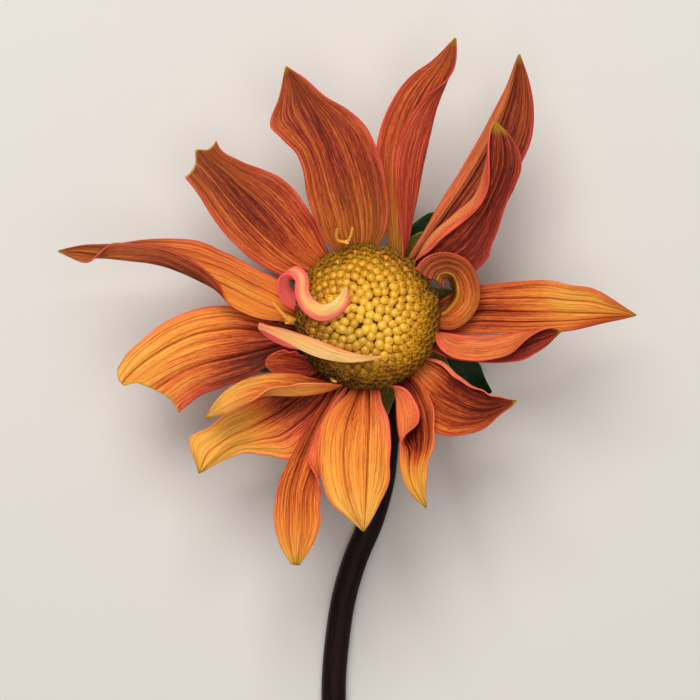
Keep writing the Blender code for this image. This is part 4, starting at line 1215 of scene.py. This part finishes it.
# %% Bracts
BRACT_ANGLES = [-33, 50, 136, 198, 256]
BRACT_SPINE = [(9.9, -8.5), (14.4, -9.0), (19.0, -11.8), (23.0, -16.8), (26.2, -21.2), (30.0, -22.4)]
BRACT_HALF_WIDTHS = [2.4, 4.0, 5.0, 5.0, 4.4, 3.0, 0.3]
PHYLLARY_ANGLES = [-79 + 45 * k for k in range(8)]
PHYLLARY_SPINE = [(10.5, -7.0), (14.0, -7.4), (17.4, -7.0), (20.4, -6.0)]
PHYLLARY_HALF_WIDTHS = [2.2, 3.2, 2.4, 0.3]
TABLE_Z = -22.0


def around(profile, angle, side=0.0):
    """Points of a (distance out, height) profile at an angle about the head's axis, bowed sideways."""
    c = math.cos(math.radians(angle))
    s = math.sin(math.radians(angle))
    bow = [side * (i / (len(profile) - 1)) ** 2 for i in range(len(profile))]
    return [(r * c - b * s, r * s + b * c, z) for (r, z), b in zip(profile, bow)]


def leaf_finish(name, dark, light, coat):
    skin = Finish(name, 0.4, Specular_IOR_Level=0.10, Coat_Weight=coat, Coat_Roughness=0.25)
    across, along, number = skin.split(skin.attribute("blade"))
    wide = skin.noise(skin.join(across * 4.0, along * 0.7, number * 3.1), 1.6, 2.0, 0.5)
    fine = skin.noise(skin.join(across * 20.0, along * 3.0, number * 1.7), 1.5, 3.0, 0.6)
    vein = 1.0 - skin.step(abs(wide - 0.5), 0.0, 0.03)
    margin = skin.step(abs(across), 0.86, 1.0)
    share = skin.clamp(vein * 0.8 + (fine - 0.35) * 0.6 + margin * 0.5)
    skin.colour(skin.mix(share, dark, light))
    skin.rough(0.40 + fine * 0.15)
    skin.relief(fine * 0.4 + vein * 0.6, 0.15)
    return skin.material


leaf = leaf_finish("bract_green", (0.002, 0.018, 0.001), (0.016, 0.095, 0.004), 0.02)
film = leaf_finish("phyllary_olive", (0.10, 0.10, 0.012), (0.34, 0.30, 0.05), 0.05)
LEAF_RIBS = ((-0.5, 0.12, 0.0), (0.0, 0.2, 0.0), (0.5, 0.12, 0.0))
for n, angle in enumerate(BRACT_ANGLES):
    bow = (-1) ** n * 1.0  # millimetres sideways at the tip, to one side and the other in turn
    shape = {**PETAL_DEFAULTS, "spine": around(BRACT_SPINE, angle, bow), "left": BRACT_HALF_WIDTHS,
             "right": BRACT_HALF_WIDTHS, "left_lift": 8, "right_lift": 8, "ribs": LEAF_RIBS}
    made = blade_piece("leaf_of_outer_bract_%02d" % (n + 1), shape, leaf, n + 30, 60, 36)
    for vertex in made.data.vertices:
        vertex.co.z = max(vertex.co.z, HEAD[2] + TABLE_Z * MM)
    dress(made, "outer_bract_%02d" % (n + 1))
for n, angle in enumerate(PHYLLARY_ANGLES):
    shape = {**PETAL_DEFAULTS, "spine": around(PHYLLARY_SPINE, angle), "left": PHYLLARY_HALF_WIDTHS,
             "right": PHYLLARY_HALF_WIDTHS, "left_lift": 14, "right_lift": 14}
    made = blade_piece("film_of_inner_bract_%02d" % (n + 1), shape, film, n + 40, 36, 24)
    dress(made, "inner_bract_%02d" % (n + 1))
print(len(BRACT_ANGLES) + len(PHYLLARY_ANGLES), "bracts have their finish")

# %% Receptacle
RECEPTACLE_PROFILE = [  # radius, height
    (9.6, RECEPTACLE_TOP), (10.2, -1.5), (10.2, -6.8), (9.3, -8.4), (7.0, -9.9), (4.2, -10.9), (2.9, -11.4),
]


def turned_solid(profile, sides, rings):
    """A smooth profile turned about the head's axis, with shallow flutes, closed at both ends."""
    points = []
    for i in range(rings + 1):
        radius, z = smooth(profile, np.array(i / rings))
        for k in range(sides):
            a = 2 * math.pi * k / sides
            flute = 1 - 0.012 * math.cos(13 * a) * math.sin(math.pi * i / rings)
            points.append((radius * flute * math.cos(a), radius * flute * math.sin(a), z))
    return points, ring_faces(rings + 1, sides)


def flesh_finish():
    skin = Finish("receptacle_green", 0.5, Coat_Weight=0.1)
    mottle = skin.noise(skin.here(), 0.5, 4.0, 0.6)
    speck = skin.noise(skin.here(), 4.0, 2.0, 0.6)
    skin.colour(skin.mix(mottle, (0.07, 0.12, 0.02), (0.24, 0.28, 0.07)))
    skin.rough(0.45 + (speck - 0.5) * 0.3)
    skin.relief(mottle * 0.6 + speck * 0.4, 0.25)
    return skin.material


receptacle = mesh_piece("flesh_of_receptacle", *turned_solid(RECEPTACLE_PROFILE, 96, 36), flesh_finish())
dress(receptacle, "receptacle")
print("the receptacle has", len(receptacle.data.polygons), "faces")

# %% A rail and a ridged tube
STEM_RADIUS = 2.55
STEM_LINE_Z = TABLE_Z + STEM_RADIUS
STEM_SPINE = [(0.0, 0.0, -11.75), (0.0, -0.1, -14.6), (1.0, -3.2, -18.2)] + [
    (x, y, STEM_LINE_Z) for x, y in (
        (3.4, -9.4), (5.4, -17.0), (4.2, -25.2), (3.3, -33.4), (1.1, -41.6), (-2.3, -49.8), (-4.7, -58.0),
        (-6.0, -66.4), (-6.7, -74.8), (-6.6, -83.0), (-5.9, -91.2), (-4.8, -99.4), (-3.4, -107.4),
        (-1.8, -115.2),
    )
]


def rail(name, points, rows, lowest=TABLE_Z):
    """A poly curve along a smooth line that stays above a lowest height."""
    line = smooth(np.array(points, float), np.linspace(0, 1, rows))
    line[:, 2] = np.maximum(line[:, 2], lowest)
    curve = bpy.data.curves.new(name, "CURVE")
    curve.dimensions = "3D"
    curve.twist_mode = "MINIMUM"
    spline = curve.splines.new("POLY")
    spline.points.add(rows - 1)
    for point, spot in zip(spline.points, place(line)):
        point.co = (*spot, 1.0)
    return new_object(name, curve)


def tube_tree():
    """Sweep a ridged ring along a rail, tapering it, and keep where each point lies on it."""
    tree, board, wires = new_tree("ridged_tube", [
        ("Rail", "Object"), ("Radius", "Float"), ("End Radius", "Float"), ("Ridges", "Float"),
        ("Ridge Depth", "Float"), ("Sides", "Int"), ("Finish", "Material"),
    ])
    _, rail_object, radius, end_radius, ridges, depth, sides, finish = wires
    path = object_geometry(board, rail_object)
    share = board.node("GeometryNodeSplineParameter")
    path = store_on(board, path, "along", share)
    thick = radius + (end_radius - radius) * share
    ring = board.node("GeometryNodeCurvePrimitiveCircle", {"mode": "RADIUS"},
                      {"Resolution": sides, "Radius": 1.0})
    angle = board.node("GeometryNodeSplineParameter") * (2 * math.pi)
    ring = store_on(board, ring, "turn", angle)
    swell = 1.0 + depth * (board.math("COSINE", angle * ridges) - 1.0)
    spot = board.node("GeometryNodeInputPosition")
    moved = board.node("ShaderNodeVectorMath", {"operation": "SCALE"}, {0: spot, "Scale": swell})
    ring = board.node("GeometryNodeSetPosition", {}, {"Geometry": ring, "Position": moved})
    skin = board.node("GeometryNodeCurveToMesh", {},
                      {"Curve": path, "Profile Curve": ring, "Scale": thick * MM, "Fill Caps": True})
    close_tree(board, skin, finish)
    return tree


tube = tube_tree()
print("the tube tree has", len(tube.nodes), "nodes")

# %% Stem
def stem_finish():
    skin = Finish("stem_maroon", 0.5, Specular_IOR_Level=0.10, Coat_Weight=0.02, Coat_Roughness=0.3)
    turn = skin.attribute("turn", output="Fac")
    along = skin.attribute("along", output="Fac")
    round_it = skin.join(skin.math("COSINE", turn) * 3.0, skin.math("SINE", turn) * 3.0, along * 4.0)
    streak = skin.noise(round_it, 3.0, 3.0, 0.6)
    mottle = skin.noise(skin.here(), 0.25, 4.0, 0.6)
    body = skin.mix(skin.clamp((streak - 0.3) * 1.4), (0.005, 0.0012, 0.0010), (0.030, 0.008, 0.005))
    body = skin.mix(skin.clamp((mottle - 0.60) * 1.2), body, (0.045, 0.024, 0.006))
    skin.colour(body)
    skin.rough(0.32 + streak * 0.2)
    skin.relief(streak, 0.2)
    return skin.material


stem_rail = rail("stem_rail", STEM_SPINE, 260, lowest=STEM_LINE_Z)
stem = grow("skin_of_stem", tube, {
    "Rail": stem_rail, "Radius": STEM_RADIUS, "End Radius": STEM_RADIUS, "Ridges": 9.0,
    "Ridge Depth": 0.012, "Sides": 72, "Finish": stem_finish()})
bpy.data.objects.remove(stem_rail)
dress(stem, "stem")
print("the stem has", len(stem.data.polygons), "faces")

# %% [markdown]
# ## Florets that have opened
# At the disc's edge a few florets have opened. Each is a small tube with one or two yellow arms. The tree
# that swept the stem sweeps them too: a tube is a tube, whether it is five millimetres thick or one.

# %% Open florets
OPEN_FLORETS = {
    "open_floret_01_top": [
        ([(-4.1, 13.9, 1.9), (-4.1, 14.5, 3.4), (-4.0, 14.7, 4.8)], 0.5, 0.45),
        ([(-5.9, 17.2, 6.2), (-6.1, 15.8, 5.4), (-5.6, 14.9, 4.8), (-4.0, 14.7, 4.6), (-3.3, 15.8, 5.2),
          (-2.9, 17.4, 6.0)], 0.36, 0.3),
    ],
    "open_floret_02_left": [
        ([(-14.2, -1.1, 1.2), (-15.0, -1.0, 2.1), (-15.9, -0.8, 2.8)], 0.8, 0.95),
        ([(-15.5, -1.0, 2.9), (-16.6, 0.2, 3.2), (-17.8, 1.5, 3.6), (-18.8, 2.7, 4.0)], 0.5, 0.25),
    ],
    "open_floret_03_low": [
        ([(-6.8, -12.4, 2.0), (-6.9, -12.6, 3.2)], 0.48, 0.45),
        ([(-6.9, -12.4, 3.0), (-6.8, -12.9, 3.9), (-6.1, -13.1, 4.4)], 0.38, 0.28),
    ],
}


def style_finish():
    skin = Finish("floret_yellow", 0.4, Coat_Weight=0.2)
    along = skin.attribute("along", output="Fac")
    fleck = skin.noise(skin.here(), 2.5, 3.0, 0.6)
    share = skin.clamp(along * 0.5 + (fleck - 0.4))
    skin.colour(skin.mix(share, (0.70, 0.30, 0.030), (0.98, 0.54, 0.07)))
    skin.relief(fleck, 0.08)
    return skin.material


yellow = style_finish()
for name, tubes in OPEN_FLORETS.items():
    for k, (points, radius, end_radius) in enumerate(tubes):
        guide = rail("floret_rail", points, 10 * len(points))
        part = "tube" if k == 0 else "arms"
        made = grow(part + "_of_" + name, tube, {
            "Rail": guide, "Radius": radius, "End Radius": end_radius, "Ridges": 5.0, "Ridge Depth": 0.06,
            "Sides": 20, "Finish": yellow})
        bpy.data.objects.remove(guide)
        dress(made, name)
print(len(OPEN_FLORETS), "florets are open")

# %% [markdown]
# ## Floor, light and camera
# The flower lies on a plain pale table. A broad soft light stands above and behind the top of the flower,
# so the petals that lift towards it glow and the ones that lean away stay deep, and a weaker one fills
# from behind the camera. The camera looks straight down with a long lens, which keeps the petals'
# proportions true.

# %% Studio
CAMERA_SPOT = (-3.4, -6.8, 700.0)  # in the head's frame, straight above
FLOOR_DROP = 0.00005  # metres, so the table shares no plane with the flower
ROOM_LIGHT = 0.17


def floor_finish():
    skin = Finish("pale_table", 0.75)
    cloud = skin.noise(skin.here(), 0.004, 3.0, 0.5)
    skin.colour(skin.mix(cloud, (0.72, 0.70, 0.68), (0.78, 0.76, 0.74)))
    skin.relief(skin.noise(skin.here(), 0.8, 3.0, 0.6), 0.02)
    return skin.material


def soft_light(name, spot, target, size, power, colour):
    lamp = bpy.data.lights.new(name, "AREA")
    lamp.shape = "SQUARE"
    lamp.size = size
    lamp.energy = power
    lamp.color = colour
    obj = new_object(name, lamp)
    obj.location = spot
    obj.rotation_euler = (Vector(target) - Vector(spot)).to_track_quat("-Z", "Y").to_euler()


bpy.ops.mesh.primitive_plane_add(size=3.0, location=(0.0, 0.0, -FLOOR_DROP))
floor = bpy.context.object
floor.name = "table"
floor.data.materials.append(floor_finish())
middle = tuple(float(c) for c in HEAD)
soft_light("key", (-0.10, 0.48, 0.78), middle, 0.50, 6.2, (1.0, 0.96, 0.90))
soft_light("fill", (0.05, -0.05, 0.95), middle, 0.5, 2.6, (1.0, 0.97, 0.93))
world = bpy.data.worlds.new("room")
world.use_nodes = True
world.node_tree.nodes["Background"].inputs["Color"].default_value = (1.0, 0.98, 0.95, 1.0)
world.node_tree.nodes["Background"].inputs["Strength"].default_value = ROOM_LIGHT
bpy.context.scene.world = world
bpy.context.scene.view_settings.view_transform = "Standard"

lens = bpy.data.cameras.new("lens")
lens.lens = 180.0
lens.sensor_width = 36.0
lens.clip_start = 0.01
camera = new_object("camera", lens)
camera.location = place(CAMERA_SPOT)
bpy.context.scene.camera = camera
print("the camera stands", round(float(camera.location.z), 3), "metres above the table")
